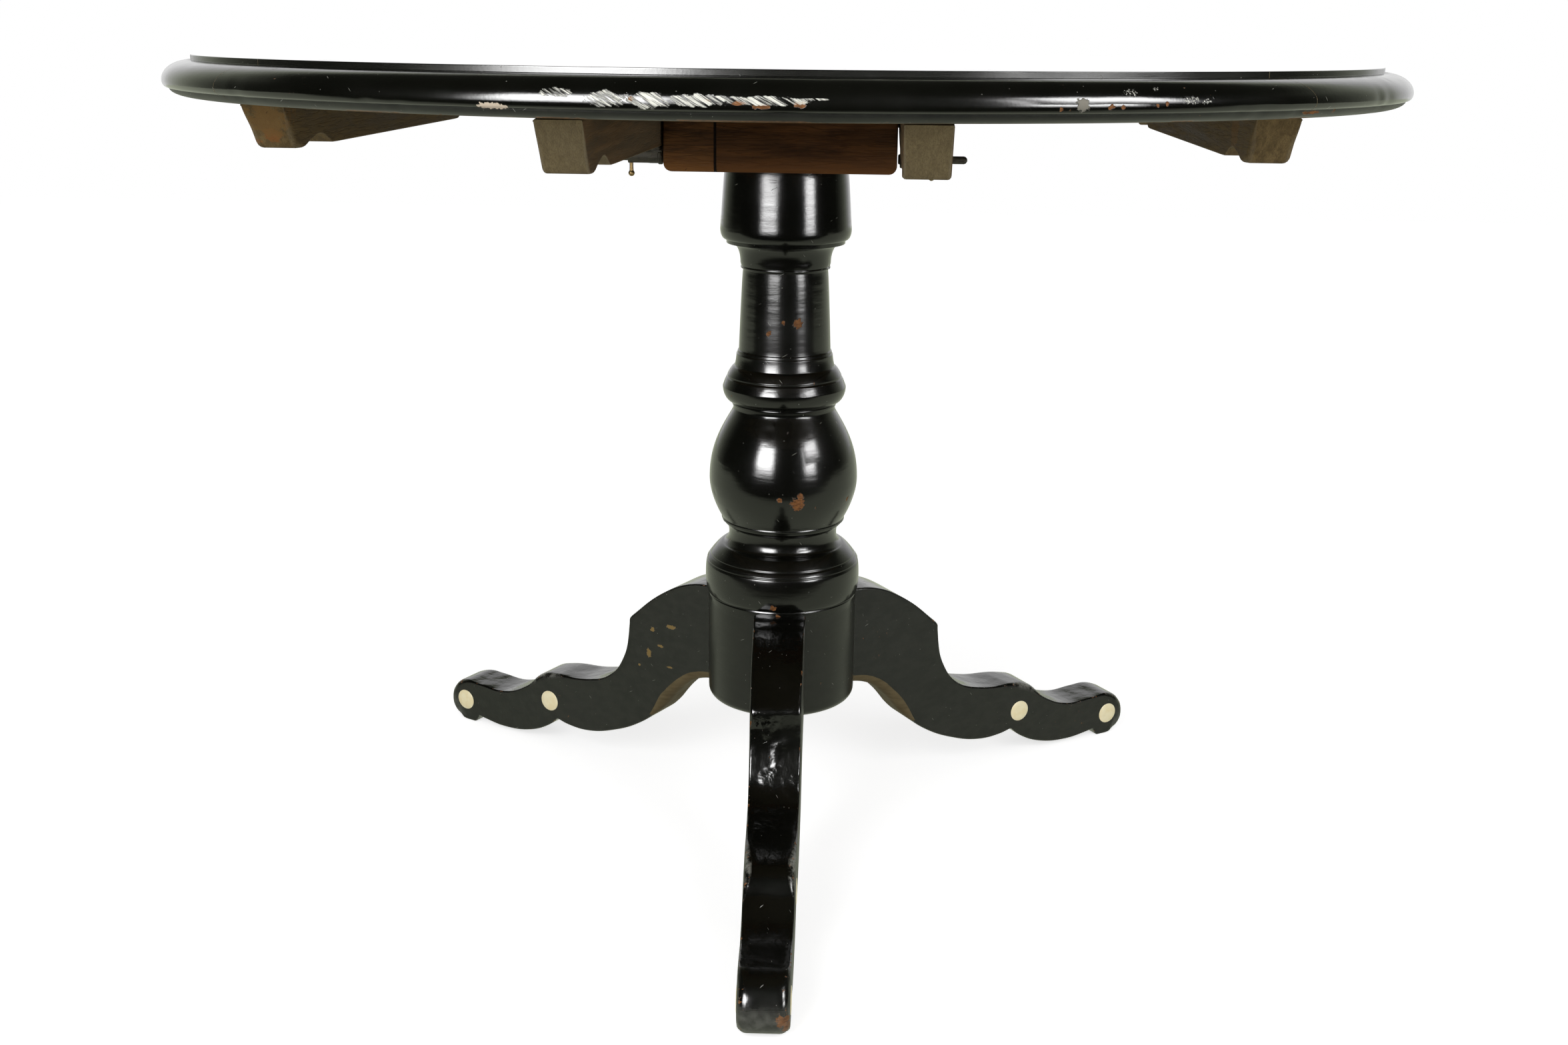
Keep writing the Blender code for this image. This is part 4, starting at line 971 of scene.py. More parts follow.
class TABLE_OT_stage(Operator):
    """Sets the camera, the white floor, two softboxes and the room's light"""

    bl_idname = "table.stage"
    bl_label = "Stage"

    def execute(self, context):
        scene, sizes = context.scene, context.scene.table_stage
        scene.view_settings.view_transform = "Standard"
        data = bpy.data.cameras.new("camera")
        data.sensor_width = 36.0
        data.lens = sizes.lens
        scene.camera = linked("camera", data)
        turn = Matrix.Rotation(sizes.heading, 4, "Z") @ Matrix.Rotation(math.pi / 2 - sizes.pitch, 4, "X")
        turn = turn @ Matrix.Rotation(sizes.roll, 4, "Z")
        scene.camera.matrix_world = Matrix.Translation(sizes.eye) @ turn
        middle = Vector((0.0, 0.0, 0.38))
        for label, place, power in (
            ("left", Vector((-0.89, -1.79, 1.25)), sizes.left_power),
            ("right", Vector((1.30, -1.52, 1.25)), sizes.right_power),
        ):
            lamp = bpy.data.lights.new(f"{label}_softbox", "AREA")
            lamp.shape = "RECTANGLE"
            lamp.size, lamp.size_y = 1.0, 1.4
            lamp.energy = power
            holder = linked(f"{label}_softbox", lamp)
            turn = (place - middle).to_track_quat("Z", "Y").to_matrix().to_4x4()
            holder.matrix_world = Matrix.Translation(place) @ turn
            holder.visible_glossy = False
        self.card("left_softbox_card", (-0.89, -1.79, 1.21), (1.32, 1.9), sizes.card)
        self.card("right_softbox_card", (1.44, -1.40, 1.21), (0.82, 1.9), 1.1 * sizes.card)
        self.card("high_softbox_card", (1.52, -1.12, 1.60), (1.05, 1.5), 0.7 * sizes.card)
        self.floor()
        self.world(scene, sizes.ambient)
        return {"FINISHED"}

    def sheet(self, name, corners, material):
        """A flat sheet that belongs to the stage."""
        mesh = bpy.data.meshes.new(name)
        mesh.from_pydata(corners, [], [(0, 1, 2, 3)])
        mesh.materials.append(material)
        sheet = linked(name, mesh)
        return sheet

    def card(self, name, place, size, level):
        """A bright upright card in a softbox's place, which only gloss sees. It fades towards its edges."""
        out = Vector((place[0], place[1], 0.0)).normalized()
        wide = np.array((-out.y, out.x, 0.0)) * size[0] / 2
        tall = np.array((0.0, 0.0, size[1] / 2))
        corners = np.asarray(place) + SQUARE[:, :1] * wide + SQUARE[:, 1:] * tall
        coat = Coat("softbox_cloth")
        across, up = (abs(coat.trait(trait)) for trait in ("across", "up"))
        glow = coat.step(across, 0.4, 1.0, 1.0, 0.0) * coat.step(up, 0.1, 1.0, 1.0, 0.0) * level
        cloth = coat.shows(coat.add("ShaderNodeEmission", {"Strength": glow}))
        card = self.sheet(name, corners.tolist(), cloth)
        carry(card.data, {"across": SQUARE[:, 0], "up": SQUARE[:, 1]})
        for ray in ("camera", "diffuse", "transmission", "shadow", "volume_scatter"):
            setattr(card, f"visible_{ray}", False)

    def floor(self):
        """A white floor that keeps a pale shadow. In gloss it is white near the table and ends in front."""
        coat = Coat("white_floor", 0.9)
        coat.into(Base_Color=(0.86, 0.86, 0.86, 1.0), Specular_IOR_Level=0.0)
        rays = coat.add("ShaderNodeLightPath")
        pale = coat.add("ShaderNodeBsdfDiffuse", {"Color": (0.76, 0.76, 0.76, 1.0)})
        lift = coat.add("ShaderNodeEmission", {"Strength": 0.66})
        seen = coat.add("ShaderNodeAddShader", {0: pale, 1: lift})
        near = coat.step(coat.axis("Y"), -0.95, -0.45, 0.03, 0.7)
        gleam = coat.add("ShaderNodeEmission", {"Color": (*GREENISH, 1.0), "Strength": near})
        plain = Field(coat, coat.shader.outputs[0])
        mixed = coat.add("ShaderNodeMixShader", {0: rays.of("Is Camera Ray"), 1: plain, 2: seen})
        gloss = most(rays.of("Is Glossy Ray"), rays.of("Is Transmission Ray"))
        white = coat.shows(coat.add("ShaderNodeMixShader", {0: gloss, 1: mixed, 2: gleam}))
        self.sheet("floor", [(6 * x, 6 * y, 0) for x, y in SQUARE], white)

    def world(self, scene, ambient):
        """A white room to the eye. Gloss sees a low white back wall under a dark roof. The rest is even."""
        scene.world = bpy.data.worlds.new("studio")
        scene.world.use_nodes = True
        room = Graph(scene.world.node_tree)
        rays = room.add("ShaderNodeLightPath")
        place = room.add("ShaderNodeSeparateXYZ", {0: room.add("ShaderNodeTexCoord", output="Generated")})
        back = room.math("POWER", room.step(place.of("Y"), 0.0, 0.88, way="LINEAR"), 2.4)
        wall = most(back * room.step(place.of("Z"), 0.40, 0.62, 1.0, 0.0) * 1.12, 0.03)
        gloss = most(rays.of("Is Glossy Ray"), rays.of("Is Transmission Ray"))
        level = room.add("ShaderNodeMix", {0: gloss, 2: ambient, 3: wall})
        seen = room.add("ShaderNodeMix", {0: rays.of("Is Camera Ray"), 2: level, 3: 1.0})
        dim = gloss * room.step(wall, 0.5, 0.95, 1.0, 0.0, "LINEAR")
        shade = room.tree.nodes["Background"].inputs
        room.put(shade["Color"], room.blend(dim, (1.0, 1.0, 1.0), GREENISH))
        room.put(shade["Strength"], seen)


class TABLE_OT_top(Operator):
    """Builds the five glued boards with their moulded edge"""

    bl_idname = "table.top"
    bl_label = "Top boards"

    def profile(self, sizes, low):
        """The moulded edge from the middle of the top to the middle of the underside: a fillet, a nose of
        two quarter ellipses, a quirk and a rounded band."""
        margin, ease = 0.004, 0.0007
        high, band_top = sizes.height, low + sizes.band_height
        fillet = (sizes.radius - sizes.fillet_inset, high - sizes.fillet_height)
        nose = (sizes.radius, band_top + (fillet[1] - band_top) * sizes.nose_share)
        foot = (sizes.radius - sizes.nose_return, band_top)
        quirk = (foot[0] - sizes.quirk, band_top)
        edge = (sizes.radius - sizes.band_inset, low)
        moulding = run(
            (fillet[0] - margin, high), (fillet[0], high), fillet, quarter(fillet, nose, 16, True),
            quarter(nose, foot, 8, False), quirk, quarter(quirk, edge, 8, False), (edge[0] - margin, low),
        )
        upper = [(radius, high) for radius in (0.0, 0.12, 0.24, 0.34, 0.42, 0.48, 0.51)]
        lower = [(radius, low) for radius in (0.45, 0.30, 0.15, 0.0)]
        return run(upper, eased(moulding, ease), lower)

    def execute(self, context):
        scene, sizes = context.scene, context.scene.table_top
        low = underside(scene)
        points, faces = turned(self.profile(sizes, low), 720)
        radius = np.linalg.norm(points[:, :2], axis=1)
        on_edge = (radius > sizes.radius - sizes.fillet_inset - 0.001) & (points[:, 2] > low + 0.001)
        points = knocked(points, sizes.knocks, 7, 0.007, 0.0008, on_edge)
        gloss = (0.10, 0.19)
        worn = self.worn_edge(scene.table_colours, gloss, low, sizes)
        rubbed = lacquer("rubbed_lacquer", scene.table_colours, gloss)
        finishes = (worn, finish("bare_board_wood", scene), rubbed)
        whole = solid_mesh("moulded_round", (points, faces))
        joint = sizes.radius * sizes.centre_share
        far = joint + 2 * sizes.radius * sizes.side_share
        past = 2 * sizes.radius
        joints = (-past, -far, -joint, joint, far, past)
        for name, front, rear in zip(BOARDS, joints, joints[1:]):
            cuts = ((front + sizes.joint / 2, -1), (rear - sizes.joint / 2, 1))
            cuts = [((0, place, 0), (0, out, 0)) for place, out in cuts if abs(place) < sizes.radius]
            mesh = sawn(whole, name, finishes, *cuts)
            middle, facing = per_face(mesh, "center"), per_face(mesh, "normal")[:, 2]
            bare = (facing < -0.95) & (middle[:, 2] < low + 0.0005)
            for place in (front, rear):
                bare |= np.abs(middle[:, 1] - place) < sizes.joint
            upper = (facing > 0.95) & (middle[:, 2] > sizes.height - 0.0002)
            mesh.polygons.foreach_set("material_index", np.where(bare, 1, 2 * upper).astype(np.int32))
            shown(shaded(mesh, 32.0), "top", name)
        bpy.data.meshes.remove(whole)
        return {"FINISHED"}

    def worn_edge(self, colours, gloss, low, sizes):
        """Lacquer with a satin band, a worn lower edge and the scuffs of the front."""
        front = -sizes.radius

        def satin(coat):
            height, band = coat.axis("Z"), low + sizes.band_height
            step = sizes.height - sizes.fillet_height
            band = coat.step(height, band - 0.0006, band, 1.0, 0.0)
            fillet = coat.step(height, step - 0.0004, step + 0.0002)
            rim = coat.step(height, sizes.height - 0.0009, sizes.height - 0.0003, 0.3, 0.0)
            return most(band, fillet * rim)

        def wear(coat, bits):
            edge = coat.step(coat.axis("Z"), low + 0.0006, low + 0.0020, 1.0, 0.0)
            patches = coat.noise(14.0, 5.0, shift=(9, 4, 2), rough=0.65)
            worst = coat.spots([(0.0, front + 0.015, low, 0.05)], 0.4, 60.0)
            return edge * most(worst, coat.step(patches, 0.54, 0.60))

        def scuff(coat):
            clumps = flakes(
                0.06, (-0.112, front, 0.7352, 0.011, 0.0030), (-0.080, front, 0.7315, 0.014, 0.0050),
                (-0.053, front, 0.7312, 0.015, 0.0050), (-0.023, front, 0.7315, 0.020, 0.0042),
                (0.016, front, 0.7317, 0.030, 0.0030), (0.050, front, 0.7330, 0.010, 0.0007),
            )
            rubbed = coat.spots(clumps, 0.30, 170.0)
            slant = coat.moved((38, 1, 900), place=coat.moved(turn=(0.0, -0.52, 0.0)))
            hatch = coat.step(coat.noise(1.0, 5.0, place=slant, rough=0.7), 0.44, 0.58)
            flecks = flakes(
                0.02, (0.2483, -0.4818, 0.7374, 0.005, 0.0022), (0.2903, -0.4608, 0.7326, 0.0065, 0.0022),
                (0.3015, -0.454, 0.7318, 0.003, 0.0018), (0.2653, -0.4682, 0.7395, 0.0025, 0.0012),
            )
            broken = coat.step(coat.noise(760.0, 3.0, rough=0.6), 0.50, 0.60, 0.0, 0.65)
            flecks = coat.spots(flecks, 0.6, 420.0) * broken
            return most(rubbed * hatch, flecks)

        chips = flakes(
            0.02, (0.0035, front, 0.7300, 0.0042, 0.0013), (0.018, front, 0.7282, 0.006, 0.0013),
            (0.041, front, 0.7298, 0.004, 0.0021), (-0.016, front, 0.7315, 0.003, 0.0010),
            (-0.063, front, 0.7318, 0.002, 0.0016), (0.203, -0.506, 0.7274, 0.0017),
            (0.2435, -0.4875, 0.7285, 0.0019), (0.267, -0.475, 0.7297, 0.0015),
            (0.273, -0.471, 0.7307, 0.0015),
        )
        chips += flakes(
            0.012, (0.39, -0.375, 0.7225, 0.012, 0.0012), (0.41, -0.352, 0.722, 0.0022),
            (0.235, -0.49, 0.729, 0.0025),
        )
        pale = flakes(
            0.03, (-0.1555, -0.522, 0.7258, 0.0098, 0.0021), (-0.149, -0.524, 0.7252, 0.0065, 0.0016))
        grey = flakes(0.02, (0.2166, -0.50, 0.7302, 0.0042, 0.0042))
        marks = ((pale, (0.56, 0.47, 0.36)), (grey, (0.16, 0.15, 0.12)))
        return lacquer(
            "edge_lacquer", colours, gloss, (16, 16, 90), 0.15, chips, scuff, wear, satin, marks=marks)


class TABLE_OT_battens(Operator):
    """Builds the two bearers, the two outer battens and their screws"""

    bl_idname = "table.battens"
    bl_label = "Battens"

    def outline(self, sizes, half, ends):
        """A batten's side as a closed curve: undercut ends, a narrow foot, a hollow and a straight edge."""
        foot = half - sizes.undercut
        heel = foot - sizes.foot
        low, bend, notch, rise = -ends[0], sizes.rounding, sizes.notch, sizes.notch_height
        end = np.array([
            (half, 0.0, 0),
            (foot + bend, low + bend, 0),
            (foot + 0.20 * bend, low + 0.15 * bend, 1),
            (foot - 0.40 * sizes.foot, low, 1),
            (heel, low, 1),
            (heel - 0.35 * notch, low + 0.75 * rise, 1),
            (heel - 0.65 * notch, low + rise, 1),
            (heel - notch, low, 0),
        ])
        other = end[::-1] * (-1, 1, 1)
        return scrolled(np.vstack([end, [(0.0, -ends[1], 0)], other]), KNOT_STEPS)

    def execute(self, context):
        scene = context.scene
        top, sizes, block = scene.table_top, scene.table_battens, scene.table_block
        step = top.radius * (top.centre_share + top.side_share)
        outer = (sizes.outer_depth, sizes.outer_depth)
        spread = top.radius * sizes.screw_share
        face = block.size / 2
        for label, side in SIDES:
            hole = rod(block.pin + PLAY, face - 0.002, face + PIN_OUT + SEAT_GAP)
            hole = along_x(hole, pivot(scene), side)
            place, screws = side * bearer_place(scene), (-step, 0.0, step)
            self.batten(scene, f"{label}_bearer", place, bearer_ends(scene), screws, [hole])
            place = side * top.radius * sizes.outer_share
            self.batten(scene, f"{label}_outer_batten", place, outer, (-spread, spread), [])
        return {"FINISHED"}

    def batten(self, scene, name, centre, ends, screws, holes):
        """One batten across X = centre, with its screws in their wells."""
        sizes = scene.table_battens
        high = underside(scene) - SEAT_GAP
        half = batten_half(scene, abs(centre))
        outline = softened(self.outline(sizes, half, ends), 1)
        knot = np.arange(len(outline)) / KNOT_STEPS
        knot = np.minimum(knot, 16 - knot)
        foot = np.minimum(ramp(knot, 0.2, 0.9), ramp(knot, 4.3, 3.5))
        foot_edge = sizes.bearer_foot_edge if holes else sizes.outer_foot_edge
        rounding = sizes.edge + (foot_edge - sizes.edge) * foot
        plane, out, aside, faces = banded(outline, evenly(sizes.width / 2), rounding, 8, 4)
        points = np.stack([centre + out, plane[:, :, 0], high + plane[:, :, 1]], axis=-1).reshape(-1, 3)
        wood = finish("bare_bearer_wood" if holes else "bare_batten_wood", scene)
        piece = made(name, (points, faces), "top", wood, {"aside": aside})
        wells = list(holes)
        for number, along in enumerate(screws, 1):
            low = high - batten_depth(scene, half, ends, along)
            seat = low + sizes.screw_sink
            well = rod(sizes.screw_head + SEAT_GAP, low - PAST, seat, 32)
            wells.append(moved(well, (centre, along, 0.0)))
            self.screw(scene, f"{name}_screw_{number}", (centre, along, seat - SEAT_GAP))
        bored(piece, *wells)

    def screw(self, scene, name, place):
        """A slotted wood screw: a low domed head, a shank and a point. Its slot lies at its own angle."""
        head, shank = scene.table_battens.screw_head, 0.0023
        profile = run(
            (0.0, -0.003), (head * 0.7, -0.00285), (head, -0.0021), (head, -0.0004), (head - 0.0004, 0.0),
            (shank, 0.0), (shank, 0.028), (0.0, 0.036),
        )
        iron = finish("wrought_iron", scene)
        piece = made(name, moved(turned(profile, 32), place), "top", iron)
        angle = math.sin(1000.0 * place[1] + 300.0 * place[0]) * 3.0
        spin = [(math.cos(angle), math.sin(angle)), (-math.sin(angle), math.cos(angle))]
        slot = SQUARE * (head * 1.2, 0.00045) @ np.array(spin)
        bored(piece, moved(prism(slot, -0.004, -0.0018), place))


class TABLE_OT_block(Operator):
    """Builds the block, its lighter side strip and the two pivot pins"""

    bl_idname = "table.block"
    bl_label = "Block"

    def surface(self, scene):
        """A profile (inset, height) carried round a square with rounded corners, from the foot's middle to
        the top's middle. About the pivot the rear top corner's square is drawn in to a circle: a point
        keeps the larger of its two offsets as its distance from the axis."""
        sizes = scene.table_block
        high = block_top(scene)
        low = high - sizes.thickness
        half, bend = sizes.size / 2, sizes.lower_rounding
        wall = np.column_stack([np.zeros(30), np.linspace(low + bend, high - EASE, 30)])
        foot = np.column_stack([np.linspace(half, bend, 12), np.full(12, low)])
        lid = np.column_stack([np.linspace(EASE, half, 40), np.full(40, high)])
        inset, level = run(
            foot, quarter((bend, low), (0.0, low + bend), 8, True), wall,
            quarter((0.0, high - EASE), (EASE, high), 3, False), lid,
        ).T
        angle = np.linspace(0.0, np.pi / 2, 6)
        arm = np.linspace(-1.0, 1.0, 26)[1:-1]
        side = (half - inset)[:, None]
        soft = np.clip(sizes.corner - inset, 0.0, sizes.corner)[:, None]
        x = np.hstack([side + 0 * arm, side - soft + soft * np.cos(angle)])
        y = np.hstack([(side - soft) * arm, side - soft + soft * np.sin(angle)])
        spins = [(np.cos(spin), np.sin(spin)) for spin in np.arange(4) * np.pi / 2]
        loop = [np.stack([cos * x - sin * y, sin * x + cos * y], axis=-1) for cos, sin in spins]
        plan = np.concatenate(loop, axis=1)
        points = np.dstack([plan, np.broadcast_to(level[:, None], plan.shape[:2])])
        away = np.maximum(points[:, :, 1:] - pivot(scene)[1:], 0.0)
        inside = (away > 0.0).all(axis=2)
        reach = np.linalg.norm(away, axis=2)
        pull = np.where(inside, away.max(axis=2) / np.maximum(reach, 1e-9), 1.0)
        points[:, :, 1:] += np.where(inside[:, :, None], away * (pull[:, :, None] - 1.0), 0.0)
        return points.reshape(-1, 3), rows_of_quads(*points.shape[:2])

    def execute(self, context):
        scene = context.scene
        sizes, bolts = scene.table_block, scene.table_bolts
        half = sizes.size / 2
        joint = -half + sizes.strip
        whole = solid_mesh("whole_block", self.surface(scene))
        for name, side, key, slot in (
            ("block", 1, "reddish_block_wood", "block_wood"),
            ("block_side_strip", -1, "orange_strip_wood", "strip_wood"),
        ):
            cut = ((joint + side * SEAT_GAP / 2, 0, 0), (-side, 0, 0))
            piece = shown(shaded(sawn(whole, name, [finish(key, scene)], cut)), "stand", name)
            pin = rod(sizes.pin + SEAT_GAP, half - PIN_IN - SEAT_GAP, half + PAST)
            socket = rod(bolts.radius + PLAY, half - bolts.travel - 0.003, half + PAST)
            cutters = [along_x(pin, pivot(scene), side), along_x(socket, (0.0, *bolt_place(scene)), side)]
            if side == 1:
                low = block_top(scene) - sizes.thickness
                cutters.append(rod(sizes.tenon + SEAT_GAP, low - 0.01, 0.73, 96))
            bored(piece, *cutters)
        bpy.data.meshes.remove(whole)
        for label, side in SIDES:
            low, high = half - PIN_IN, half + PIN_OUT
            end = run((0.0, low), (sizes.pin - EASE, low), (sizes.pin, low + EASE))
            other = run((sizes.pin, high - EASE), (sizes.pin - EASE, high), (0.0, high))
            pin = along_x(turned(run(end, other), 40), pivot(scene), side)
            made(f"{label}_pivot_pin", pin, "stand", finish("wrought_iron", scene))
        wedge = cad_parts["tenon_wedge"]
        wedge.data.materials.clear()
        wedge.data.materials.append(finish("wedge_wood", scene))
        return {"FINISHED"}


class TABLE_OT_bolts(Operator):
    """Builds the lock bolts with their finger pins, cases and case screws"""

    bl_idname = "table.bolts"
    bl_label = "Lock bolts"

    def execute(self, context):
        for label, side in SIDES:
            self.case(context.scene, label, side)
            self.bolt(context.scene, label, side)
        return {"FINISHED"}

    def case_top(self, scene):
        """The height of the bearer's lower edge over the case."""
        half = batten_half(scene, bearer_place(scene))
        nearest = max(0.0, abs(bolt_place(scene)[0]) - scene.table_bolts.plate / 2)
        depth = batten_depth(scene, half, bearer_ends(scene), nearest)
        return underside(scene) - SEAT_GAP - depth - SEAT_GAP

    def case(self, scene, label, side):
        """An iron case: the outline of a plate with a round barrel hung under it, given its length, bored
        for the bolt and slotted for its finger pin."""
        sizes, iron = scene.table_bolts, finish("wrought_iron", scene)
        y, z = bolt_place(scene)
        top = self.case_top(scene) - z
        bore = sizes.radius + PLAY
        barrel = bore + sizes.wall
        wing, plate = sizes.plate / 2, top - sizes.plate_thickness
        angle = np.linspace(0.0, -np.pi, 25)[:, None]
        under = np.hstack([barrel * np.cos(angle), barrel * np.sin(angle)])
        right = run((wing, top), (wing, top - 0.0024), (barrel + 0.0012, plate), (barrel, plate - 0.0006))
        outline = run(right, under, right[::-1] * (-1, 1))
        share = np.linspace(0.0, 1.0, 5)[None, :-1, None]
        ahead = np.roll(outline, -1, axis=0) - outline
        outline = (outline[:, None] + ahead[:, None] * share).reshape(-1, 2)
        edge = np.full(len(outline), 0.0004)
        plane, out, _, faces = banded(outline, evenly(sizes.case / 2), edge, 4, 3)
        inner = scene.table_block.size / 2 + scene.table_block.play
        centre = inner + SEAT_GAP + sizes.case / 2
        points = np.stack([side * centre + out, y + plane[:, :, 0], z + plane[:, :, 1]], axis=-1)
        piece = made(f"{label}_bolt_case", (points.reshape(-1, 3), faces), "top", iron)
        rest = scene.table_block.size / 2 + sizes.tip_gap + sizes.pin_place
        slot = sizes.pin + PLAY
        arc = np.linspace(-np.pi / 2, np.pi / 2, 13)
        ends = np.concatenate([rest + slot * np.cos(arc), rest - sizes.travel - slot * np.cos(arc)])
        wide = slot * np.concatenate([np.sin(arc), np.sin(arc[::-1])])
        bored(piece, along_x(rod(bore, inner - PAST, inner + sizes.case + PAST), (0.0, y, z), side))
        bored(piece, prism(np.column_stack([side * ends, y + wide]), z - 0.012, z))
        self.collar(piece, side, (side * (inner + SEAT_GAP), y, z), bore, barrel)
        seat = self.case_top(scene) - sizes.plate_thickness - SEAT_GAP
        offset = (barrel + sizes.plate / 2) / 2
        profile = run(
            (0.0, -0.0016), (0.0021, -0.00145), (0.0031, -0.0008), (0.0032, -0.0002), (0.003, 0.0),
            (0.0016, 0.0), (0.0016, 0.0105), (0.0, 0.0137),
        )
        for number, way in enumerate((-1, 1), 1):
            place = (side * (inner + sizes.case / 2), y + way * offset, seat)
            made(f"{label}_case_screw_{number}", moved(turned(profile, 28), place), "top", iron)

    def collar(self, piece, side, place, bore, barrel):
        """A raised ring round the barrel's inner end, joined to the case's mesh as a closed shell."""
        near, far, rim = 0.0002, 0.0040, barrel + 0.0009
        profile = run(
            (bore, near), (barrel + 0.0005, near), (rim, 0.0008), (rim, 0.0034), (barrel + 0.0004, far),
            (bore, far), (bore, near),
        )
        ring = solid_mesh("collar", along_x(turned(profile, 48), place, side))
        bm = bmesh.new()
        bm.from_mesh(piece.data)
        bm.from_mesh(ring)
        bm.to_mesh(piece.data)
        bm.free()
        bpy.data.meshes.remove(ring)
        shaded(piece.data)

    def bolt(self, scene, label, side):
        """A turned bolt with a round outer end, and its turned finger pin with a ball."""
        sizes = scene.table_bolts
        y, z = bolt_place(scene)
        tip = scene.table_block.size / 2 + sizes.tip_gap
        thick, stem, neck = sizes.radius, sizes.stem, sizes.reach - sizes.stem
        profile = run(
            (0.0, 0.0), (thick - 0.001, 0.0), (thick, 0.001), (thick, sizes.body - 0.0005),
            (thick - 0.0005, sizes.body), (stem, sizes.body), (stem, neck),
            quarter((stem, neck), (0.0, sizes.reach), 8, False),
        )
        surface = along_x(turned(eased(profile, 0.0003, 3), 48), (side * tip, y, z), side)
        made(f"{label}_bolt", surface, f"{label}_lock", finish("wrought_iron", scene))
        low = -sizes.pin_drop
        waist = low + math.sqrt(sizes.ball**2 - sizes.pin**2)
        sweep = np.linspace(np.arcsin(sizes.pin / sizes.ball), np.pi, 20)[:, None]
        ball = np.hstack([sizes.ball * np.sin(sweep), low + sizes.ball * np.cos(sweep)])
        ball[-1, 0] = 0.0
        profile = run((0.0, thick / 2), (sizes.pin, thick / 2), (sizes.pin * 0.92, waist + 0.004), ball)
        surface = moved(turned(profile, 36), (side * (tip + sizes.pin_place), y, z))
        made(f"{label}_finger_pin", surface, f"{label}_lock", finish("dull_brass", scene))


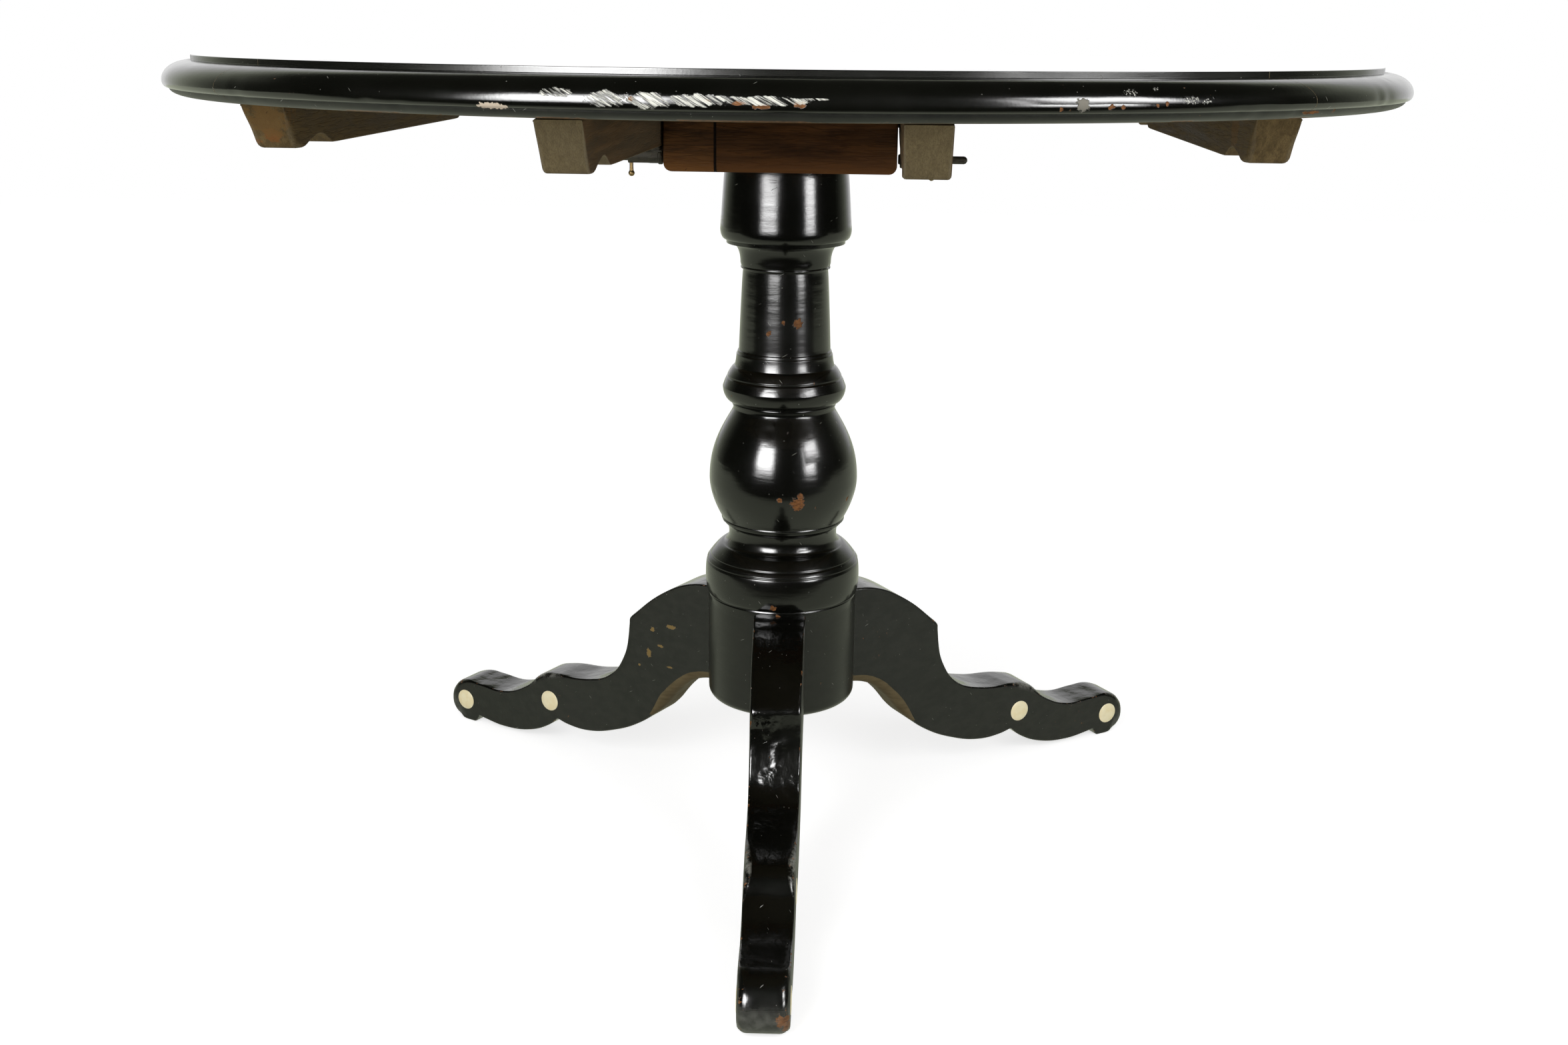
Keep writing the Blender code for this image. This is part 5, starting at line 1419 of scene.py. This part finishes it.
class TABLE_OT_column(Operator):
    """Builds the turned column with its tenon"""

    bl_idname = "table.column"
    bl_label = "Column"

    def profile(self, scene):
        """The turned forms from the tenon's middle down: a barrel capital, a cove, the shaft, a collar, a
        ring, the vase, a cove, the sloping base, its ring and the drum, with fillets and scratched grooves
        between."""
        s, tenon = scene.table_column, scene.table_block.tenon
        tenon_top = block_top(scene) - SEAT_GAP - 0.0002
        top = block_top(scene) - scene.table_block.thickness - SEAT_GAP
        drum = s.drum_foot + s.drum_height
        roll_foot = drum + s.base_height + s.groove_height
        base = roll_foot + s.roll_height
        cove_top = base + s.cove_height
        vase_foot = cove_top + s.fillet_height
        vase_level = vase_foot + s.foot_height
        vase_top = vase_level + s.shoulder_height
        ring_foot = vase_top + s.vase_neck_height
        ring_top = ring_foot + s.ring_height
        capital = (s.capital, top - s.capital_height)
        edge = (s.neck_fillet + 0.0015, capital[1] - 0.0095)
        neck = (s.neck_fillet - 0.005, edge[1] - 0.0044)
        shaft = (s.shaft_top, capital[1] - s.neck_height)
        foot = (s.shaft_foot, ring_top + s.collar_height)
        lip = (s.shaft_foot + 0.0022, foot[1] - 0.0036)
        collar, ring = (s.collar, ring_top), (s.ring, ring_foot + 0.43 * s.ring_height)
        vase, cove = (s.vase, vase_level), (s.cove, base + s.cove_height / 2)
        fillet, roll_top = (s.vase_foot - 0.0023, cove_top), (s.vase_foot, base)
        groove = (s.base_groove, roll_foot - s.groove_height)
        swelling = (s.base_ring, drum + s.base_height / 2)
        scratched = slope(collar, ring, 24, 0.62)
        scratched[11:13, 0] -= 0.0009
        roll = slope(roll_top, (s.base_groove, roll_foot), 20, 0.72)
        roll[13:15, 0] -= 0.0007
        fine = run(
            (s.capital_top, top - 0.0006), slope((s.capital_top, top), capital, 14, 0.8),
            quarter(capital, edge, 8, False), (s.neck_fillet, edge[1]), (s.neck_fillet, edge[1] - 0.0038),
            neck, quarter(neck, (s.neck, shaft[1] + 0.0062), 12, True),
            (s.neck - 0.0008, shaft[1] + 0.0032), (s.neck - 0.0003, shaft[1] + 0.0026),
            (s.neck - 0.0003, shaft[1] + 0.0012), (s.shaft_top + 0.0006, shaft[1] + 0.0004), shaft,
            slope(shaft, foot, 18, 0.8), (s.shaft_foot + 0.0011, foot[1] - 0.0006),
            (s.shaft_foot + 0.0013, foot[1] - 0.0030), lip, slope(lip, collar, 8, 1.6),
            scratched, quarter(ring, (s.vase_neck, ring_foot), 12, False),
            (s.vase_neck + 0.0009, ring_foot - 0.0008), (s.vase_neck + 0.0009, ring_foot - 0.0030),
            (s.vase_neck, ring_foot - 0.0036), (s.vase_neck, vase_top),
            swell((s.vase_neck, vase_top), vase, 36, 0.58), slope(vase, (s.vase_foot, vase_foot), 20, 1.8),
            (s.vase_foot + 0.0006, vase_foot - 0.0010), (s.vase_foot + 0.0004, vase_foot - 0.0026),
            (s.vase_foot - 0.0017, vase_foot - 0.0032), fillet,
            quarter(fillet, cove, 10, True), quarter(cove, roll_top, 10, False), roll,
            (s.base_groove - 0.0008, roll_foot - s.groove_height / 2), groove,
            quarter(groove, swelling, 10, True), quarter(swelling, (s.drum, drum), 10, False),
            (s.drum - 0.0007, drum - 0.0008), (s.drum, drum - 0.0022),
            np.column_stack([np.full(8, s.drum), np.linspace(drum - 0.006, s.drum_foot + 0.010, 8)]),
            quarter((s.drum, s.drum_foot + 0.009), (s.drum - 0.009, s.drum_foot), 8, False),
        )
        upper = run(
            (0.0, tenon_top), (tenon - 0.0006, tenon_top), (tenon, tenon_top - 0.0006), (tenon, top),
            (s.capital_top - 0.001, top),
        )
        return run(upper, eased(fine, 0.0005), (s.drum - 0.03, s.drum_foot), (0.0, s.drum_foot)), top

    def execute(self, context):
        scene, sizes = context.scene, context.scene.table_column
        profile, top = self.profile(scene)
        points, faces = turned(profile, 192)
        outside = (points[:, 2] < top - 0.002) & (np.linalg.norm(points[:, :2], axis=1) > 0.038)
        points = knocked(points, sizes.knocks, 11, 0.0035, 0.0007, outside)
        chips = (
            (0.0175, -0.0690, 0.3420, 0.0066), (0.0205, -0.0690, 0.3490, 0.0036),
            (0.001, -0.0720, 0.3460, 0.0028), (0.0145, -0.0405, 0.5100, 0.0050),
            (-0.0125, -0.0410, 0.5000, 0.0030), (0.001, -0.0428, 0.5110, 0.0020),
            (-0.004, -0.0755, 0.2385, 0.0030), (0.001, -0.0740, 0.2290, 0.0025),
            (0.066, -0.031, 0.338, 0.003),
        )
        drum = sizes.drum_foot + sizes.drum_height

        def satin(coat):
            return coat.step(coat.axis("Z"), drum - 0.012, drum - 0.002, 0.5, 0.0)

        gloss = lacquer(
            "column_lacquer", scene.table_colours, (0.13, 0.22), (30, 30, 170), 0.12, chips, satin=satin)
        mesh = solid_mesh("column", (points, faces), (gloss, finish("wedge_wood", scene)))
        on_tenon = per_face(mesh, "center")[:, 2] > top - 0.0001
        mesh.polygons.foreach_set("material_index", on_tenon.astype(np.int32))
        shown(shaded(mesh, 30.0), "stand", "column")
        return {"FINISHED"}


class TABLE_OT_legs(Operator):
    """Builds the three scroll legs and their bone discs"""

    bl_idname = "table.legs"
    bl_label = "Legs"

    def execute(self, context):
        scene, sizes = context.scene, context.scene.table_legs
        drum = scene.table_column.drum
        span, root = sizes.reach - drum, drum - sizes.inlet
        knots = [(root, sizes.top, 0)]
        knots += [(drum + span * along, sizes.top * up, smooth) for along, up, smooth in SCROLL]
        knots += [(root, sizes.top * SCROLL_ROOT_UNDER, 0)]
        steps = 12
        outline = softened(scrolled(knots, steps), 2)
        knot = np.arange(len(outline)) / steps

        def stretch(start, full, fading, end):
            return ramp(knot, start, full) * ramp(knot, end, fading)

        def half(along):
            return (sizes.root + (sizes.toe - sizes.root) * (along - drum) / span) / 2

        knee = stretch(7.2, 8.4, 9.0, 10.2)
        swells = 2.8 * knee + 3.2 * stretch(12.2, 13.6, 16.4, 17.4) + 0.8 * stretch(2.2, 2.8, 3.2, 3.8)
        rounding = sizes.edge * (1.0 + swells) + (sizes.bevel - sizes.edge) * ramp(knot, 28.3, 29.5)
        plane, out, aside, faces = banded(outline, half, rounding, 8, 6)
        toe = stretch(14.2, 15.0, 16.6, 17.0) + 0 * aside
        traits = {
            "aside": aside,
            "bare": ramp(knot, 28.3, 29.0) * np.where(aside > 0.97, 0.0, 1.0),
            "worn": np.maximum(np.clip((aside - 0.8) / 0.19, 0.0, 1.0), 0.7 * toe),
            "toe": toe,
            "rough": stretch(2.8, 3.6, 4.6, 7.2) * (1.0 - aside),
            # rubbed: the hump's rounded corners, which take a light grey painted highlight laid on as rubbed
            # lacquer.
            "rubbed": stretch(7.4, 8.3, 9.0, 10.2) * 4.0 * aside * (1.0 - aside),
        }
        painted, bone = self.painted(scene.table_colours), finish("polished_bone", scene)
        for number, label in enumerate(LEGS):
            heading = -math.pi / 2 + sizes.turn + number * 2 * math.pi / len(LEGS)
            points = set_out(heading, plane[:, :, 0], out, plane[:, :, 1])
            made(f"{label}_leg", (points, faces), "stand", painted, traits)
            for side_label, side in SIDES:
                for eye, (along, up) in enumerate(SCROLL_EYES, 1):
                    far, high = drum + span * along, sizes.top * up
                    points, disc = turned(self.disc(sizes, half(far) + sizes.disc_proud), 56)
                    points = set_out(heading, far + points[:, 0], side * points[:, 2], high + points[:, 1])
                    made(f"{label}_leg_{side_label}_disc_{eye}", (points, disc), "stand", bone)
        return {"FINISHED"}

    def painted(self, colours):
        """Lacquer: dull on the sides, bare under the root, lumpy on the slope, scuffed at the toe, and on
        the hump's rounded corners a light grey painted highlight laid on as rubbed lacquer.
        """

        def satin(coat):
            return coat.trait("worn")

        def bare(coat):
            ragged = (coat.noise(70.0, 4.0) - 0.5) * 0.8
            return coat.step(coat.trait("bare") + ragged, 0.42, 0.58)

        def wear(coat, bits):
            return coat.step(bits, 0.60, 0.63) * coat.step(coat.arris(), 0.5, 0.8)

        def scuff(coat):
            dusty = coat.step(coat.noise(120.0, 4.0), 0.35, 0.7, 0.03, 0.10)
            dusty = coat.trait("toe") * dusty
            # The rubbed streaks paint a highlight in light grey on the hump's rounded corners.
            streaks = coat.step(coat.noise(90.0, 5.0, rough=0.7), 0.42, 0.66, 0.0, 0.35)
            return most(dusty, coat.trait("rubbed") * streaks)

        def dents(coat):
            lumps = coat.noise(62.0, 4.0, rough=0.5)
            patchy = coat.step(coat.noise(30.0, 2.0, shift=(3, 1, 2)), 0.40, 0.60)
            return lumps * patchy * coat.trait("rough")

        chips = (
            (0.0315, -0.438, 0.021, 0.0065), (0.0345, -0.434, 0.014, 0.006), (0.031, -0.20, 0.150, 0.0035),
        )
        flecks = flakes(
            0.02, (-0.1438, 0.0490, 0.1396, 0.0028, 0.0052), (-0.1180, 0.0349, 0.1746, 0.0058, 0.0022),
            (-0.1393, 0.0466, 0.1672, 0.0028), (-0.1196, 0.0358, 0.1289, 0.0034, 0.0012),
            (-0.1309, 0.0420, 0.1505, 0.0034, 0.0016), (-0.1552, 0.0553, 0.1234, 0.0016),
        )
        marks = ((flecks, (0.20, 0.135, 0.045)),)
        gloss, ripple = (0.12, 0.2), (55, 55, 55)
        return lacquer(
            "leg_lacquer", colours, gloss, ripple, 0.7, chips, scuff, wear, satin, bare, dents, marks)

    def disc(self, sizes, outer):
        """A bone disc's profile: a flat cylinder with an eased rim and a slightly domed face."""
        ease, dome = 0.0004, 0.0001
        return run(
            (0.0, outer - sizes.disc_thickness), (sizes.disc, outer - sizes.disc_thickness),
            (sizes.disc, outer - ease), (sizes.disc - ease, outer - dome),
            (sizes.disc * 0.5, outer + dome), (0.0, outer + dome),
        )


class TABLE_PT_panel(Panel):
    """Lists the table's pieces and sizes"""

    bl_idname = "TABLE_PT_panel"
    bl_label = "Tilt-top table"
    bl_space_type = "VIEW_3D"
    bl_region_type = "UI"
    bl_category = "Table"

    def draw(self, context):
        for operator in OPERATORS:
            self.layout.operator(operator.bl_idname)
        for key in GROUPS:
            box = self.layout.box()
            group = getattr(context.scene, key)
            for name in group.__annotations__:
                box.prop(group, name)


OPERATORS = (
    TABLE_OT_stage, TABLE_OT_top, TABLE_OT_battens, TABLE_OT_block, TABLE_OT_bolts, TABLE_OT_column,
    TABLE_OT_legs,
)
GROUPS = {
    "table_top": TopSizes,
    "table_battens": BattenSizes,
    "table_block": BlockSizes,
    "table_bolts": BoltSizes,
    "table_column": ColumnSizes,
    "table_legs": LegSizes,
    "table_colours": TableColours,
    "table_stage": StageSettings,
}


def register():
    """Registers the classes and hangs the settings on the scene."""
    for key, group in GROUPS.items():
        bpy.utils.register_class(group)
        setattr(bpy.types.Scene, key, PointerProperty(type=group))
    for item in (*OPERATORS, TABLE_PT_panel):
        bpy.utils.register_class(item)


def unregister():
    """Takes the classes and settings away again."""
    for item in reversed((*OPERATORS, TABLE_PT_panel)):
        bpy.utils.unregister_class(item)
    for key, group in GROUPS.items():
        delattr(bpy.types.Scene, key)
        bpy.utils.unregister_class(group)


def main():
    """Builds the stage and every piece."""
    register()
    bpy.ops.table.stage()
    bpy.ops.table.top()
    bpy.ops.table.battens()
    bpy.ops.table.block()
    bpy.ops.table.bolts()
    bpy.ops.table.column()
    bpy.ops.table.legs()


if __name__ == "__main__":
    main()
